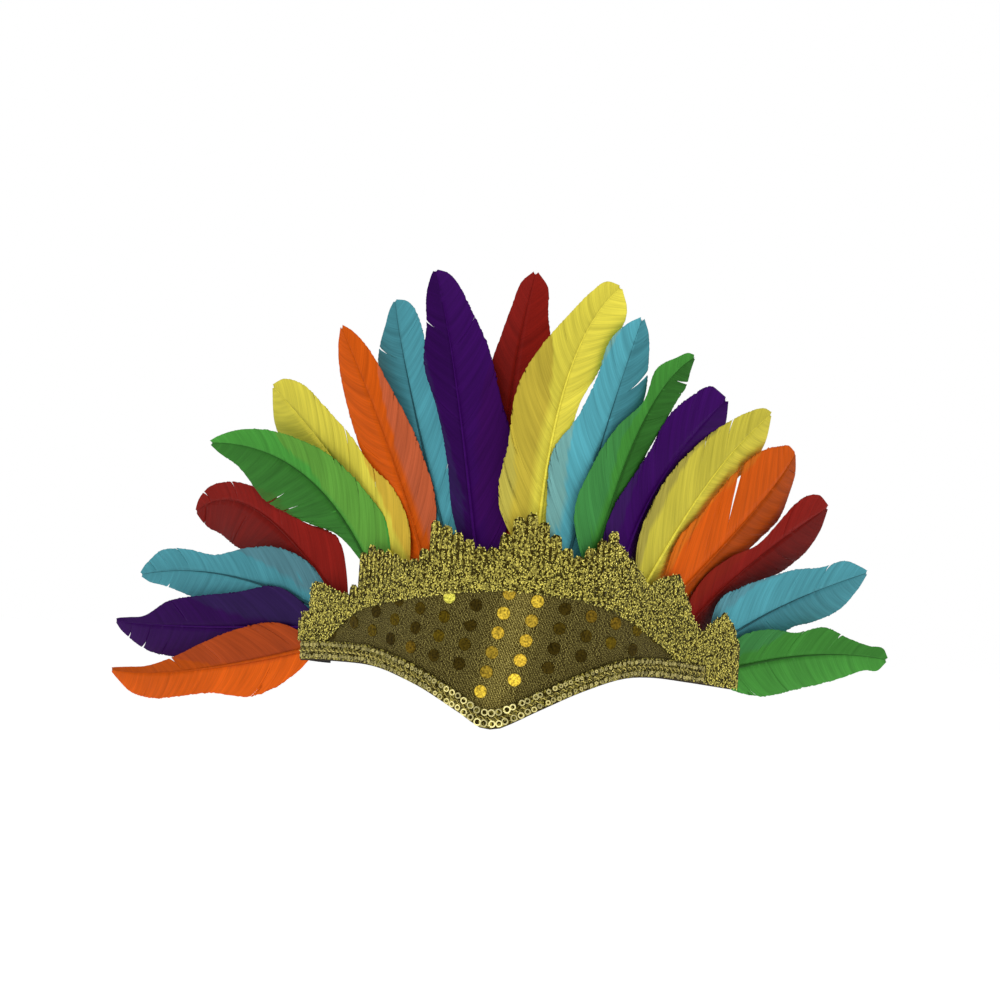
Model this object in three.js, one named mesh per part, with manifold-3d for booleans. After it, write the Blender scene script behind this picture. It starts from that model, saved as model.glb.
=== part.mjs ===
// Carnival feather headdress: a bent card brow front covered with sequin cloth, gold lace above and
// gold braid below, nineteen dyed goose feathers fanned out behind it, and an elastic band round the
// back of the head. Millimetres and degrees. +Z is up, +X is to the right seen from the front, and
// the front looks along -Y. The origin is on the inner face of the card, at the middle of the
// forehead, at the height of the elastic band.
import * as THREE from 'three';
import { mergeVertices } from 'three/addons/utils/BufferGeometryUtils.js';
import Module from 'manifold-3d';

const wasm = await Module();
wasm.setup();

// Sizes of the brow front, which is a flat strip bent round the forehead with straight sides
const browRadius = 88;
const browHalfAngle = 44;
const cardHalfLength = 139;
const cardRise = 57;
const pointDrop = 27.5;
const cardThickness = 1.5;
const clothThickness = 1;
const sheetStep = 5;
const gap = 0.3;

// Sequins on the cloth: rows lean to the right going down
const sequinRadius = 3.1;
const sequinProud = 0.5;
const sequinSides = 12;
const sequinAcross = 14.3;
const sequinDown = 10.2;
const sequinTurn = 17.5;
const sequinMargin = 0.5;
const sequinFirstAlong = -0.024;
const sequinFirstUp = 0.7;

// Lace above and braid below
const laceThickness = 1.4;
const laceValley = 4.5;
const laceScallop = 20;
const braidWidth = 9.5;
const braidThickness = 1.4;
const braidRidge = 0.9;
const hem = 0.8;

// Feathers
const featherLength = 150;
const featherHalfWidth = 20;
const vaneThickness = 0.7;
const quillRadius = 1.3;
const quillTipRadius = 0.5;
const quillLap = 16;
const vaneTipWidth = 1.2;
const vaneStart = 0.02;
const vaneCurveRadius = 140;

// Elastic band
const bandWidth = 12;
const bandThickness = 1.2;
const bandLap = 16;
const bandReach = 86;
const bandClearance = 1.3;
const bandSink = 3;
const bandEndInset = 1;
const bandTurnSteps = 7;
const bandRings = 44;

const rad = THREE.MathUtils.degToRad;
const lerp = THREE.MathUtils.lerp;
const clamp = THREE.MathUtils.clamp;

// Card outline. along is a share of the card's half length; up is a share of cardRise and down a
// share of pointDrop, both from the level of the band.
const cardTopTable = [
  { along: -1.0, up: 0.24 },
  { along: -0.86, up: 0.46 },
  { along: -0.72, up: 0.55 },
  { along: -0.45, up: 0.87 },
  { along: -0.12, up: 1.0 },
  { along: 0.2, up: 1.0 },
  { along: 0.5, up: 0.78 },
  { along: 0.8, up: 0.37 },
  { along: 1.0, up: 0.18 },
];
const browPointAlong = -0.085;
const cardBottomLeft = [
  { along: -1.0, down: 0.1 },
  { along: -0.79, down: 0.04 },
  { along: -0.58, down: 0.06 },
  { along: -0.37, down: 0.32 },
  { along: -0.2, down: 0.74 },
  { along: -0.125, down: 0.97 },
  { along: browPointAlong, down: 1.0 },
];
const cardBottomRight = [
  { along: browPointAlong, down: 1.0 },
  { along: -0.045, down: 0.96 },
  { along: 0.09, down: 0.6 },
  { along: 0.24, down: 0.24 },
  { along: 0.4, down: -0.01 },
  { along: 0.55, down: -0.04 },
  { along: 0.75, down: 0.05 },
  { along: 1.0, down: 0.19 },
];

// Lace edges. rise is a share of laceScallop above the line of the valleys; the lower edge's up is a
// share of cardRise.
const laceTopTable = [
  { along: -1.007, rise: 0.0 },
  { along: -0.99, rise: 0.2 },
  { along: -0.957, rise: 0.08 },
  { along: -0.942, rise: 0.66 },
  { along: -0.927, rise: 0.74 },
  { along: -0.84, rise: 0.28 },
  { along: -0.785, rise: 0.1 },
  { along: -0.72, rise: 0.02 },
  { along: -0.695, rise: 0.53 },
  { along: -0.66, rise: 1.02 },
  { along: -0.65, rise: 1.1 },
  { along: -0.61, rise: 0.83 },
  { along: -0.556, rise: 0.55 },
  { along: -0.5, rise: 0.3 },
  { along: -0.45, rise: 0.04 },
  { along: -0.4, rise: 0.0 },
  { along: -0.36, rise: 0.25 },
  { along: -0.332, rise: 0.8 },
  { along: -0.317, rise: 0.93 },
  { along: -0.295, rise: 0.78 },
  { along: -0.23, rise: 0.49 },
  { along: -0.163, rise: 0.2 },
  { along: -0.124, rise: 0.0 },
  { along: -0.09, rise: 0.25 },
  { along: -0.052, rise: 0.56 },
  { along: -0.026, rise: 0.92 },
  { along: 0.006, rise: 0.58 },
  { along: 0.027, rise: 1.1 },
  { along: 0.054, rise: 0.83 },
  { along: 0.108, rise: 0.47 },
  { along: 0.147, rise: 0.18 },
  { along: 0.2, rise: 0.0 },
  { along: 0.242, rise: 0.32 },
  { along: 0.28, rise: 0.56 },
  { along: 0.329, rise: 0.9 },
  { along: 0.368, rise: 0.53 },
  { along: 0.418, rise: 0.34 },
  { along: 0.473, rise: 0.07 },
  { along: 0.5, rise: 0.0 },
  { along: 0.553, rise: 0.35 },
  { along: 0.622, rise: 0.72 },
  { along: 0.66, rise: 0.93 },
  { along: 0.7, rise: 0.62 },
  { along: 0.758, rise: 0.12 },
  { along: 0.8, rise: 0.0 },
  { along: 0.832, rise: 0.25 },
  { along: 0.924, rise: 0.87 },
  { along: 0.973, rise: 0.7 },
  { along: 1.02, rise: 0.2 },
];
const laceLowTable = [
  { along: -1.01, up: 0.0 },
  { along: -0.85, up: 0.15 },
  { along: -0.776, up: 0.31 },
  { along: -0.7, up: 0.44 },
  { along: -0.59, up: 0.53 },
  { along: -0.345, up: 0.65 },
  { along: -0.08, up: 0.74 },
  { along: 0.065, up: 0.73 },
  { along: 0.216, up: 0.69 },
  { along: 0.338, up: 0.6 },
  { along: 0.475, up: 0.45 },
  { along: 0.61, up: 0.27 },
  { along: 0.7, up: 0.12 },
  { along: 1.03, up: -0.1 },
];
const braidFrom = -0.985;
const braidTo = 0.83;

// Feathers, from the lower left round to the lower right. along and drop place the foot of the quill:
// a share of the card's half length, and how far below the card's top edge as a share of cardRise.
// angle leans the chord away from straight up, clockwise; length is a share of featherLength. bow is
// the sideways bulge of the shaft as a share of its length, furthest out at the share bowAt. left and
// right are the half widths at the shares in vaneStations, as shares of featherHalfWidth. lean tips
// the feather back in degrees, twist brings its left edge forward in degrees, and curve is the radius
// of the vane's hollow as a share of vaneCurveRadius.
const vaneStations = [0.15, 0.3, 0.45, 0.6, 0.75, 0.88, 0.96];
const ORANGE = 0xd8560f;
const PURPLE = 0x2f0a6b;
const BLUE = 0x5fb4c6;
const RED = 0x9b1a1a;
const GREEN = 0x3a9a38;
const YELLOW = 0xe6d84a;
const featherTable = [
  { colour: ORANGE, along: -0.87, drop: 0.32, angle: -99, length: 1.23, bow: -0.03, bowAt: 0.7,
    left: [0.55, 0.95, 0.7, 0.7, 0.75, 0.6, 0.25], right: [0.75, 0.9, 0.7, 0.4, 0.2, 0.15, 0.1],
    lean: 0.5, twist: -12, curve: 1 },
  { colour: PURPLE, along: -0.86, drop: 0.18, angle: -93, length: 1.28, bow: -0.01, bowAt: 0.75,
    left: [0.7, 1, 1, 0.9, 0.8, 0.5, 0.25], right: [0.95, 0.95, 0.85, 0.7, 0.25, 0.15, 0.1],
    lean: 3, twist: -9, curve: 1 },
  { colour: BLUE, along: -0.8, drop: 0.15, angle: -86, length: 1.25, bow: 0.055, bowAt: 0.55,
    left: [0.6, 0.9, 1, 0.95, 0.7, 0.4, 0.25], right: [0.8, 1.1, 0.85, 0.5, 0.6, 0.6, 0.3],
    lean: 5, twist: -5, curve: 1 },
  { colour: RED, along: -0.75, drop: 0.16, angle: -73, length: 1.14, bow: 0.135, bowAt: 0.7,
    left: [0.6, 1, 1.25, 1.35, 1.2, 0.85, 0.55], right: [1, 0.65, 0.65, 0.55, 0.5, 0.45, 0.25],
    lean: 10, twist: -4, curve: 1 },
  { colour: GREEN, along: -0.59, drop: 0.16, angle: -62, length: 1.11, bow: 0.145, bowAt: 0.5,
    left: [0.1, 0.55, 1.1, 1.35, 1.3, 0.6, 0.3], right: [0.95, 1.05, 0.95, 0.75, 0.6, 0.4, 0.2],
    lean: 1, twist: -5, curve: 1 },
  { colour: YELLOW, along: -0.46, drop: 0.16, angle: -51, length: 1.08, bow: 0.04, bowAt: 0.45,
    left: [0.6, 0.9, 1, 1, 1, 1.25, 0.95], right: [0.85, 1.1, 0.9, 0.9, 0.85, 0.75, 0.45],
    lean: 6.5, twist: -12, curve: 1 },
  { colour: ORANGE, along: -0.36, drop: 0.16, angle: -30, length: 1, bow: 0.02, bowAt: 0.4,
    left: [0.5, 0.85, 1, 1.15, 1.15, 0.85, 0.45], right: [0.4, 0.9, 0.95, 0.9, 0.7, 0.55, 0.3],
    lean: 6, twist: -14, curve: 0.72 },
  { colour: BLUE, along: -0.245, drop: 0.16, angle: -23, length: 1.03, bow: 0, bowAt: 0.75,
    left: [0.5, 0.8, 0.9, 0.95, 0.85, 0.4, 0.2], right: [0.6, 0.7, 0.65, 0.6, 0.65, 0.55, 0.35],
    lean: 15, twist: -7, curve: 0.5 },
  { colour: PURPLE, along: -0.156, drop: 0.26, angle: -13, length: 1.1, bow: 0.02, bowAt: 0.75,
    left: [0.4, 0.5, 0.6, 0.8, 0.55, 0.4, 0.2], right: [0.85, 1.2, 1.05, 0.95, 0.7, 0.5, 0.3],
    lean: 6, twist: 0, curve: 0.63 },
  { colour: RED, along: -0.065, drop: 0.16, angle: 1, length: 1.05, bow: -0.04, bowAt: 0.5,
    left: [0.4, 0.7, 0.75, 0.75, 0.55, 0.4, 0.3], right: [0.5, 0.75, 0.9, 0.95, 0.85, 0.55, 0.4],
    lean: 16.5, twist: 0, curve: 0.57 },
  { colour: YELLOW, along: 0.043, drop: 0.16, angle: 14, length: 1.03, bow: -0.085, bowAt: 0.75,
    left: [0.95, 1.05, 1.15, 0.9, 0.6, 0.45, 0.35], right: [0.5, 0.5, 0.5, 0.75, 0.8, 0.75, 0.5],
    lean: 8.5, twist: 14, curve: 0.72 },
  { colour: BLUE, along: 0.145, drop: 0.16, angle: 16, length: 0.94, bow: -0.01, bowAt: 0.45,
    left: [0.6, 1, 1.15, 0.8, 0.65, 0.65, 0.35], right: [0.5, 0.6, 0.6, 0.6, 0.9, 0.65, 0.35],
    lean: 7.5, twist: 16, curve: 0.72 },
  { colour: GREEN, along: 0.25, drop: 0.16, angle: 27, length: 0.9, bow: -0.09, bowAt: 0.75,
    left: [0.85, 0.9, 0.65, 0.3, 0.5, 0.3, 0.2], right: [0.45, 0.6, 0.6, 0.7, 0.65, 0.55, 0.25],
    lean: 8.4, twist: 16, curve: 0.72 },
  { colour: PURPLE, along: 0.36, drop: 0.16, angle: 36, length: 0.86, bow: -0.08, bowAt: 0.45,
    left: [0.7, 0.95, 0.85, 0.85, 0.95, 0.8, 0.6], right: [0.65, 0.6, 0.6, 0.55, 0.45, 0.6, 0.65],
    lean: 7.5, twist: 16, curve: 0.72 },
  { colour: YELLOW, along: 0.46, drop: 0.16, angle: 46, length: 1, bow: -0.055, bowAt: 0.6,
    left: [0.9, 1.25, 1.2, 1, 0.75, 0.5, 0.3], right: [0.6, 0.65, 0.7, 0.75, 1.05, 1, 0.65],
    lean: 5.5, twist: 14, curve: 0.86 },
  { colour: ORANGE, along: 0.56, drop: 0.16, angle: 54, length: 1.03, bow: 0.015, bowAt: 0.75,
    left: [1.05, 1.25, 1.35, 1.3, 1.05, 0.65, 0.4], right: [0.65, 0.85, 1, 1.15, 1.2, 0.8, 0.5],
    lean: 6.5, twist: 12, curve: 1 },
  { colour: RED, along: 0.69, drop: 0.16, angle: 62, length: 1.04, bow: -0.03, bowAt: 0.4,
    left: [0.4, 0.7, 0.6, 0.35, 0.5, 0.7, 0.5], right: [0.6, 0.7, 0.7, 0.75, 1.05, 1, 0.6],
    lean: 6.5, twist: 11, curve: 1 },
  { colour: BLUE, along: 0.85, drop: 0.09, angle: 73, length: 1.04, bow: -0.03, bowAt: 0.4,
    left: [0.9, 1.05, 0.95, 0.85, 0.6, 0.55, 0.25], right: [0.6, 0.8, 0.9, 0.8, 0.95, 0.85, 0.45],
    lean: 5, twist: 10, curve: 1 },
  { colour: GREEN, along: 0.87, drop: 0.27, angle: 87, length: 1.07, bow: -0.04, bowAt: 0.55,
    left: [0.65, 0.85, 0.65, 0.75, 0.45, 0.3, 0.3], right: [0.55, 1, 1, 0.9, 0.7, 0.4, 0.35],
    lean: 2.5, twist: 8, curve: 1 },
];

// The row of a table that a place along it comes after, with the place kept inside the table
function rowBefore(table, along) {
  const last = table.length - 1;
  const x = clamp(along, table[0].along, table[last].along);
  let i = 0;
  while (i < last - 1 && x > table[i + 1].along) {
    i += 1;
  }
  return { i, last, x };
}

// A smooth curve through a table's rows
function smooth(table, column, along) {
  const { i, last, x } = rowBefore(table, along);
  const slope = (j) => {
    const a = table[Math.max(0, j - 1)];
    const b = table[Math.min(last, j + 1)];
    return (b[column] - a[column]) / (b.along - a.along);
  };
  const run = table[i + 1].along - table[i].along;
  const t = (x - table[i].along) / run;
  const t2 = t * t;
  const t3 = t2 * t;
  return (2 * t3 - 3 * t2 + 1) * table[i][column] + (t3 - 2 * t2 + t) * slope(i) * run
    + (3 * t2 - 2 * t3) * table[i + 1][column] + (t3 - t2) * slope(i + 1) * run;
}

// Straight lines between a table's rows
function straight(table, column, along) {
  const { i, x } = rowBefore(table, along);
  const t = (x - table[i].along) / (table[i + 1].along - table[i].along);
  return lerp(table[i][column], table[i + 1][column], t);
}

const arcHalfLength = browRadius * rad(browHalfAngle);

// The strip's frame at distance s along its inner face from the middle: where the inner face is in
// plan, the direction along it and the direction out of its front
function stripFrame(s) {
  const side = Math.sign(s) || 1;
  const turn = side * Math.min(Math.abs(s) / browRadius, rad(browHalfAngle));
  const run = side * Math.max(Math.abs(s) - arcHalfLength, 0);
  const along = new THREE.Vector3(Math.cos(turn), Math.sin(turn), 0);
  const out = new THREE.Vector3(Math.sin(turn), -Math.cos(turn), 0);
  const centre = new THREE.Vector3(0, browRadius, 0);
  const foot = centre.addScaledVector(out, browRadius).addScaledVector(along, run);
  return { foot, along, out };
}

// The point at height z, out of the strip's inner face at distance s along it
function onStrip(s, out, z) {
  const frame = stripFrame(s);
  return frame.foot.clone().addScaledVector(frame.out, out).setZ(z);
}

// Heights of the edges at distance s along the strip
const cardTop = (s) => cardRise * smooth(cardTopTable, 'up', s / cardHalfLength);
function cardBottom(s) {
  const along = s / cardHalfLength;
  const table = along < browPointAlong ? cardBottomLeft : cardBottomRight;
  return -pointDrop * smooth(table, 'down', along);
}
const braidTop = (s) => cardBottom(s) + hem + braidWidth;
const laceTop = (s) =>
  cardTop(s) + laceValley + laceScallop * straight(laceTopTable, 'rise', s / cardHalfLength);
function laceLow(s) {
  if (s > braidTo * cardHalfLength + gap) return cardBottom(s) + hem;
  const band = cardRise * smooth(laceLowTable, 'up', s / cardHalfLength);
  return Math.max(band, braidTop(s) + gap);
}

// A closed loft through rings of the same number of points, with flat ends
function loft(rings) {
  const count = rings[0].length;
  const positions = rings.flat().flatMap((p) => [p.x, p.y, p.z]);
  const index = [];
  for (let r = 0; r < rings.length - 1; r += 1) {
    for (let i = 0; i < count; i += 1) {
      const a = r * count + i;
      const b = r * count + ((i + 1) % count);
      index.push(a, b, a + count, b, b + count, a + count);
    }
  }
  const top = (rings.length - 1) * count;
  for (let i = 1; i < count - 1; i += 1) {
    index.push(0, i + 1, i, top, top + i, top + i + 1);
  }
  const geometry = new THREE.BufferGeometry();
  geometry.setAttribute('position', new THREE.Float32BufferAttribute(positions, 3));
  geometry.setIndex(index);
  return facingOut(geometry);
}

// Turns a closed geometry's faces out if its volume comes out negative
function facingOut(geometry) {
  const p = geometry.attributes.position;
  const index = geometry.index.array;
  const corner = [0, 1, 2].map(() => new THREE.Vector3());
  let volume = 0;
  for (let i = 0; i < index.length; i += 3) {
    corner.forEach((v, k) => v.fromBufferAttribute(p, index[i + k]));
    volume += corner[0].dot(corner[1].clone().cross(corner[2]));
  }
  if (volume < 0) {
    const flipped = Array.from(index);
    for (let i = 0; i < flipped.length; i += 3) {
      [flipped[i], flipped[i + 1]] = [flipped[i + 1], flipped[i]];
    }
    geometry.setIndex(flipped);
  }
  geometry.computeVertexNormals();
  return geometry;
}

// Evenly stepped distances along the strip, with each named place kept as a station
function stations(from, to, kept = []) {
  const inside = kept.filter((s) => s > from && s < to);
  const stops = [from, ...inside, to].sort((a, b) => a - b);
  const list = [from];
  for (let i = 1; i < stops.length; i += 1) {
    const span = stops[i] - stops[i - 1];
    const steps = Math.max(1, Math.round(span / sheetStep));
    for (let k = 1; k <= steps; k += 1) {
      list.push(stops[i - 1] + (span * k) / steps);
    }
  }
  return list;
}

// A sheet standing on the strip between two heights, from one offset out of the strip to another
function sheet(list, low, high, inner, outer) {
  return loft(list.map((s) => [
    onStrip(s, outer, low(s)),
    onStrip(s, outer, high(s)),
    onStrip(s, inner, high(s)),
    onStrip(s, inner, low(s)),
  ]));
}

const clothInner = cardThickness + gap;
const clothOuter = clothInner + clothThickness;
const trimInner = clothOuter + gap;
const browPoint = browPointAlong * cardHalfLength;

// The card behind everything, on the strip's inner face
function backingCard() {
  const list = stations(-cardHalfLength, cardHalfLength, [browPoint]);
  return sheet(list, cardBottom, cardTop, 0, cardThickness);
}

// Solid and geometry conversions for the joins
function solidOf(geometry) {
  const bare = new THREE.BufferGeometry();
  bare.setAttribute('position', geometry.attributes.position.clone());
  bare.setIndex(geometry.index.clone());
  const merged = mergeVertices(bare, 1e-4);
  return new wasm.Manifold(new wasm.Mesh({
    numProp: 3,
    vertProperties: new Float32Array(merged.attributes.position.array),
    triVerts: new Uint32Array(merged.index.array),
  }));
}

function geometryOf(solid) {
  const mesh = solid.getMesh();
  const geometry = new THREE.BufferGeometry();
  const corners = Float32Array.from(mesh.vertProperties);
  geometry.setAttribute('position', new THREE.BufferAttribute(corners, mesh.numProp));
  geometry.setIndex(Array.from(mesh.triVerts));
  geometry.computeVertexNormals();
  return geometry;
}

// One sequin as a short disc lying on the cloth at (s, z), its back sunk in the cloth
function sequin(s, z) {
  const sunk = clothThickness / 2;
  const deep = sequinProud + sunk;
  const disc = new THREE.CylinderGeometry(sequinRadius, sequinRadius, deep, sequinSides);
  const frame = stripFrame(s);
  const turn = new THREE.Matrix4().makeBasis(
    frame.along,
    frame.out,
    new THREE.Vector3().crossVectors(frame.along, frame.out),
  );
  const centre = onStrip(s, clothOuter - sunk + deep / 2, z);
  return disc.applyMatrix4(turn).translate(centre.x, centre.y, centre.z);
}

// The rows of sequins that lie clear of the braid and the lace
function sequinPlaces() {
  const across = new THREE.Vector2(Math.cos(rad(sequinTurn)), -Math.sin(rad(sequinTurn)));
  const down = new THREE.Vector2(-Math.sin(rad(sequinTurn)), -Math.cos(rad(sequinTurn)));
  const first = new THREE.Vector2(sequinFirstAlong * cardHalfLength, sequinFirstUp * cardRise);
  const reach = sequinRadius + sequinMargin;
  const columns = Math.ceil((2 * cardHalfLength) / sequinAcross);
  const rows = Math.ceil((cardRise + pointDrop) / sequinDown) + columns;
  const places = [];
  for (let i = -columns; i <= columns; i += 1) {
    for (let j = -rows; j <= rows; j += 1) {
      const spot = first.clone()
        .addScaledVector(across, i * sequinAcross)
        .addScaledVector(down, j * sequinDown);
      const inCard = Math.abs(spot.x) < cardHalfLength - reach;
      const near = [-reach, 0, reach].map((d) => spot.x + d);
      const aboveBraid = near.every((s) => spot.y - reach > braidTop(s));
      const belowLace = near.every((s) => spot.y + reach < laceLow(s));
      if (inCard && aboveBraid && belowLace) places.push(spot);
    }
  }
  return places;
}

// The cloth with its sequins, a hem inside the card's outline
function sequinCloth() {
  const edge = cardHalfLength - hem;
  const list = stations(-edge, edge, [browPoint]);
  const low = (s) => cardBottom(s) + hem;
  const high = (s) => cardTop(s) - hem;
  let cloth = solidOf(sheet(list, low, high, clothInner, clothOuter));
  for (const spot of sequinPlaces()) {
    cloth = cloth.add(solidOf(sequin(spot.x, spot.y)));
  }
  return geometryOf(cloth);
}

// The lace, whose lower edge steps down over the card's whole height past the end of the braid
function laceTrim() {
  const edges = laceTopTable.map((row) => row.along * cardHalfLength);
  const step = braidTo * cardHalfLength;
  const kept = [...edges.slice(1, -1), browPoint, step + gap, step + 2 * gap];
  const list = stations(edges[0], edges[edges.length - 1], kept);
  return sheet(list, laceLow, laceTop, trimInner, trimInner + laceThickness);
}

// The braid is a flat band with two raised rows of loops: up is a share of its width, and ridge says
// how much of braidRidge stands on its thickness
const braidFront = [
  { up: 0, ridge: 0 },
  { up: 0.2, ridge: 1 },
  { up: 0.4, ridge: 0 },
  { up: 0.6, ridge: 0 },
  { up: 0.8, ridge: 1 },
  { up: 1, ridge: 0 },
];
function lowerBraid() {
  const list = stations(braidFrom * cardHalfLength, braidTo * cardHalfLength, [browPoint]);
  return loft(list.map((s) => {
    const low = cardBottom(s) + hem;
    const front = braidFront.map((p) =>
      onStrip(s, trimInner + braidThickness + p.ridge * braidRidge, low + p.up * braidWidth));
    return [onStrip(s, trimInner, low), ...front, onStrip(s, trimInner, low + braidWidth)];
  }));
}

// A vane's half width at the share t of the feather's length, from the widths at the stations
function halfWidth(widths, t) {
  const table = [
    { along: vaneStart, wide: 0 },
    ...vaneStations.map((along, i) => ({ along, wide: widths[i] * featherHalfWidth })),
    { along: 1, wide: vaneTipWidth },
  ];
  return smooth(table, 'wide', t);
}

// The feather's shaft and the directions across it and out of its front at the share t
function shaftFrame(row, t) {
  const s = row.along * cardHalfLength;
  const strip = stripFrame(s);
  const length = row.length * featherLength;
  const foot = cardTop(s) - row.drop * cardRise;
  const curve = new THREE.QuadraticBezierCurve(
    new THREE.Vector2(0, 0),
    new THREE.Vector2(2 * row.bow * length, row.bowAt * length),
    new THREE.Vector2(0, length),
  );
  const spot = curve.getPoint(t).rotateAround(new THREE.Vector2(), -rad(row.angle));
  const run = curve.getTangent(t).rotateAround(new THREE.Vector2(), -rad(row.angle));
  const reach = t * length;
  const back = Math.tan(rad(row.lean)) * (reach * reach) / (reach + quillLap);
  const up = new THREE.Vector3(0, 0, 1);
  const point = strip.foot.clone()
    .addScaledVector(strip.along, spot.x)
    .addScaledVector(up, foot + spot.y)
    .addScaledVector(strip.out, -(gap + quillRadius) - back);
  const ahead = new THREE.Vector3()
    .addScaledVector(strip.along, run.x)
    .addScaledVector(up, run.y)
    .addScaledVector(strip.out, -Math.tan(rad(row.lean)))
    .normalize();
  const across = new THREE.Vector3().crossVectors(ahead, strip.out).normalize();
  across.applyAxisAngle(ahead, rad(row.twist));
  const front = new THREE.Vector3().crossVectors(across, ahead);
  return { point, across, front };
}

// One feather: a quill that flattens into a thin cambered vane with a raised shaft
const sectionShares = [
  0, 0.025, 0.06, 0.1, 0.15, 0.22, 0.3, 0.375, 0.45,
  0.525, 0.6, 0.68, 0.75, 0.82, 0.88, 0.93, 0.965, 1,
];
function feather(row) {
  return loft(sectionShares.map((t) => {
    const { point, across, front } = shaftFrame(row, t);
    const shaft = lerp(quillRadius, quillTipRadius, t);
    const left = Math.max(halfWidth(row.left, t), shaft);
    const right = Math.max(halfWidth(row.right, t), shaft);
    const half = vaneThickness / 2;
    const face = [
      { u: -left, h: half },
      { u: -left / 2, h: half },
      { u: 0, h: shaft },
      { u: right / 2, h: half },
      { u: right, h: half },
    ];
    const back = [...face].reverse().map(({ u, h }) => ({ u, h: -h }));
    return [...face, ...back].map(({ u, h }) => point.clone()
      .addScaledVector(across, u)
      .addScaledVector(front, h - (u * u) / (2 * row.curve * vaneCurveRadius)));
  }));
}

// The elastic band: sewn inside the card's ends over the quills, and round the back of the head
function headBand() {
  const inset = -(gap + 2 * quillRadius) - bandClearance;
  const lapStart = onStrip(cardHalfLength - bandLap, inset - bandThickness / 2, 0);
  const lapEnd = onStrip(cardHalfLength - bandEndInset, inset - bandThickness / 2, 0);
  const half = [lapStart, lapEnd];
  for (let i = 1; i <= bandTurnSteps; i += 1) {
    const turn = (i / bandTurnSteps) * (Math.PI / 2);
    const back = lapEnd.y + bandReach * Math.sin(turn);
    half.push(new THREE.Vector3(lapEnd.x * Math.cos(turn), back, 0));
  }
  const mirrored = half.slice(0, -1).reverse().map((p) => new THREE.Vector3(-p.x, p.y, p.z));
  const path = new THREE.CatmullRomCurve3([...half, ...mirrored]);
  const rings = [];
  for (let i = 0; i <= bandRings; i += 1) {
    const p = path.getPointAt(i / bandRings);
    const ahead = path.getTangentAt(i / bandRings);
    const side = new THREE.Vector3(ahead.y, -ahead.x, 0).normalize();
    const low = bandSink - bandWidth / 2;
    const corner = (out, z) => p.clone().addScaledVector(side, out).setZ(z);
    rings.push([
      corner(bandThickness / 2, low), corner(bandThickness / 2, low + bandWidth),
      corner(-bandThickness / 2, low + bandWidth), corner(-bandThickness / 2, low),
    ]);
  }
  return loft(rings);
}

const headdress = new THREE.Group();

// Adds a body with a material of its own
function place(name, geometry, colour, roughness, metalness) {
  const material = new THREE.MeshStandardMaterial({ color: colour, roughness, metalness });
  const mesh = new THREE.Mesh(geometry, material);
  mesh.name = name;
  headdress.add(mesh);
}

place('backing_card', backingCard(), 0x3a2f14, 0.8, 0);
place('sequin_cloth', sequinCloth(), 0x6f6120, 0.5, 0.5);
place('lace_trim', laceTrim(), 0x9a8428, 0.4, 0.8);
place('lower_braid', lowerBraid(), 0xa8913a, 0.4, 0.8);
featherTable.forEach((row, i) => {
  const name = `feather_${String(i + 1).padStart(2, '0')}`;
  place(name, feather(row), row.colour, 0.6, 0);
});
place('head_band', headBand(), 0x2b2b2b, 0.9, 0);

export default headdress;
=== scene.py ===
"""Looks of a carnival feather headdress, laid over its solid model.

Metres, +Z up, front along -Y.
"""

import logging
import math
import random
from collections.abc import Callable
from dataclasses import dataclass, field
from enum import Enum

import bmesh
import bpy
from bmesh.types import BMVert
from bpy.types import Material, Node, NodeSocket, Object
from mathutils import Matrix, Quaternion, Vector
from mathutils.bvhtree import BVHTree

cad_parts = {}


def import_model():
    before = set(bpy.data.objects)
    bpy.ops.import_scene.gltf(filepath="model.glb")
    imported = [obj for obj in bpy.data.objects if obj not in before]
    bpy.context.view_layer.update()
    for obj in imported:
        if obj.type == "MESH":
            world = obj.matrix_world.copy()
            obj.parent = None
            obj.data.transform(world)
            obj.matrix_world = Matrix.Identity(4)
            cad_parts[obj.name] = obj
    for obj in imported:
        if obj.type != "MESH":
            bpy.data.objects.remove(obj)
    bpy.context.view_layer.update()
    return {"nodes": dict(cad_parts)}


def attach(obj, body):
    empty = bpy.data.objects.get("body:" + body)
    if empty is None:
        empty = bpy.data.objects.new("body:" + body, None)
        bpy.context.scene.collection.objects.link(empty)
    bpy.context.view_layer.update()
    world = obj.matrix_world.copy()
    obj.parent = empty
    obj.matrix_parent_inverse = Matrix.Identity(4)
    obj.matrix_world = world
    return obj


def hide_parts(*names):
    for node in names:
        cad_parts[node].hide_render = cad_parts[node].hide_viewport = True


log = logging.getLogger("headdress")

MM = 0.001
SEED = 20
UP = Vector((0, 0, 1))

Pair = tuple[float, float]
Colour = tuple[float, float, float]
Table = tuple[Pair, ...]
Laid = tuple[Vector, Pair, Colour]


class Dye(Enum):
    """The six dyes: a linear colour, how much painted light from what lies behind shows through it,
    and its shaft's tone.
    """

    ORANGE = (0.56, 0.085, 0.004, 0.1, 0.8)
    PURPLE = (0.03, 0.002, 0.075, 0.03, 1.3)
    BLUE = (0.065, 0.27, 0.32, 0.15, 0.3)
    RED = (0.19, 0.009, 0.006, 0.05, 0.8)
    GREEN = (0.045, 0.21, 0.03, 0.08, 0.45)
    YELLOW = (0.64, 0.56, 0.06, 0.3, 1.3)

    @property
    def colour(self) -> Vector:
        """The linear colour."""
        return Vector(self.value[:3])

    @property
    def through(self) -> float:
        """How much of what lies behind shows through, painted into the vane's colour as light
        passing through.
        """
        return self.value[3]

    @property
    def shaft(self) -> float:
        """How bright the shaft is beside the vane."""
        return self.value[4]


class Side(Enum):
    """The two halves of a vane, seen from the front with the tip up."""

    LEFT = -1
    RIGHT = 1


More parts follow.
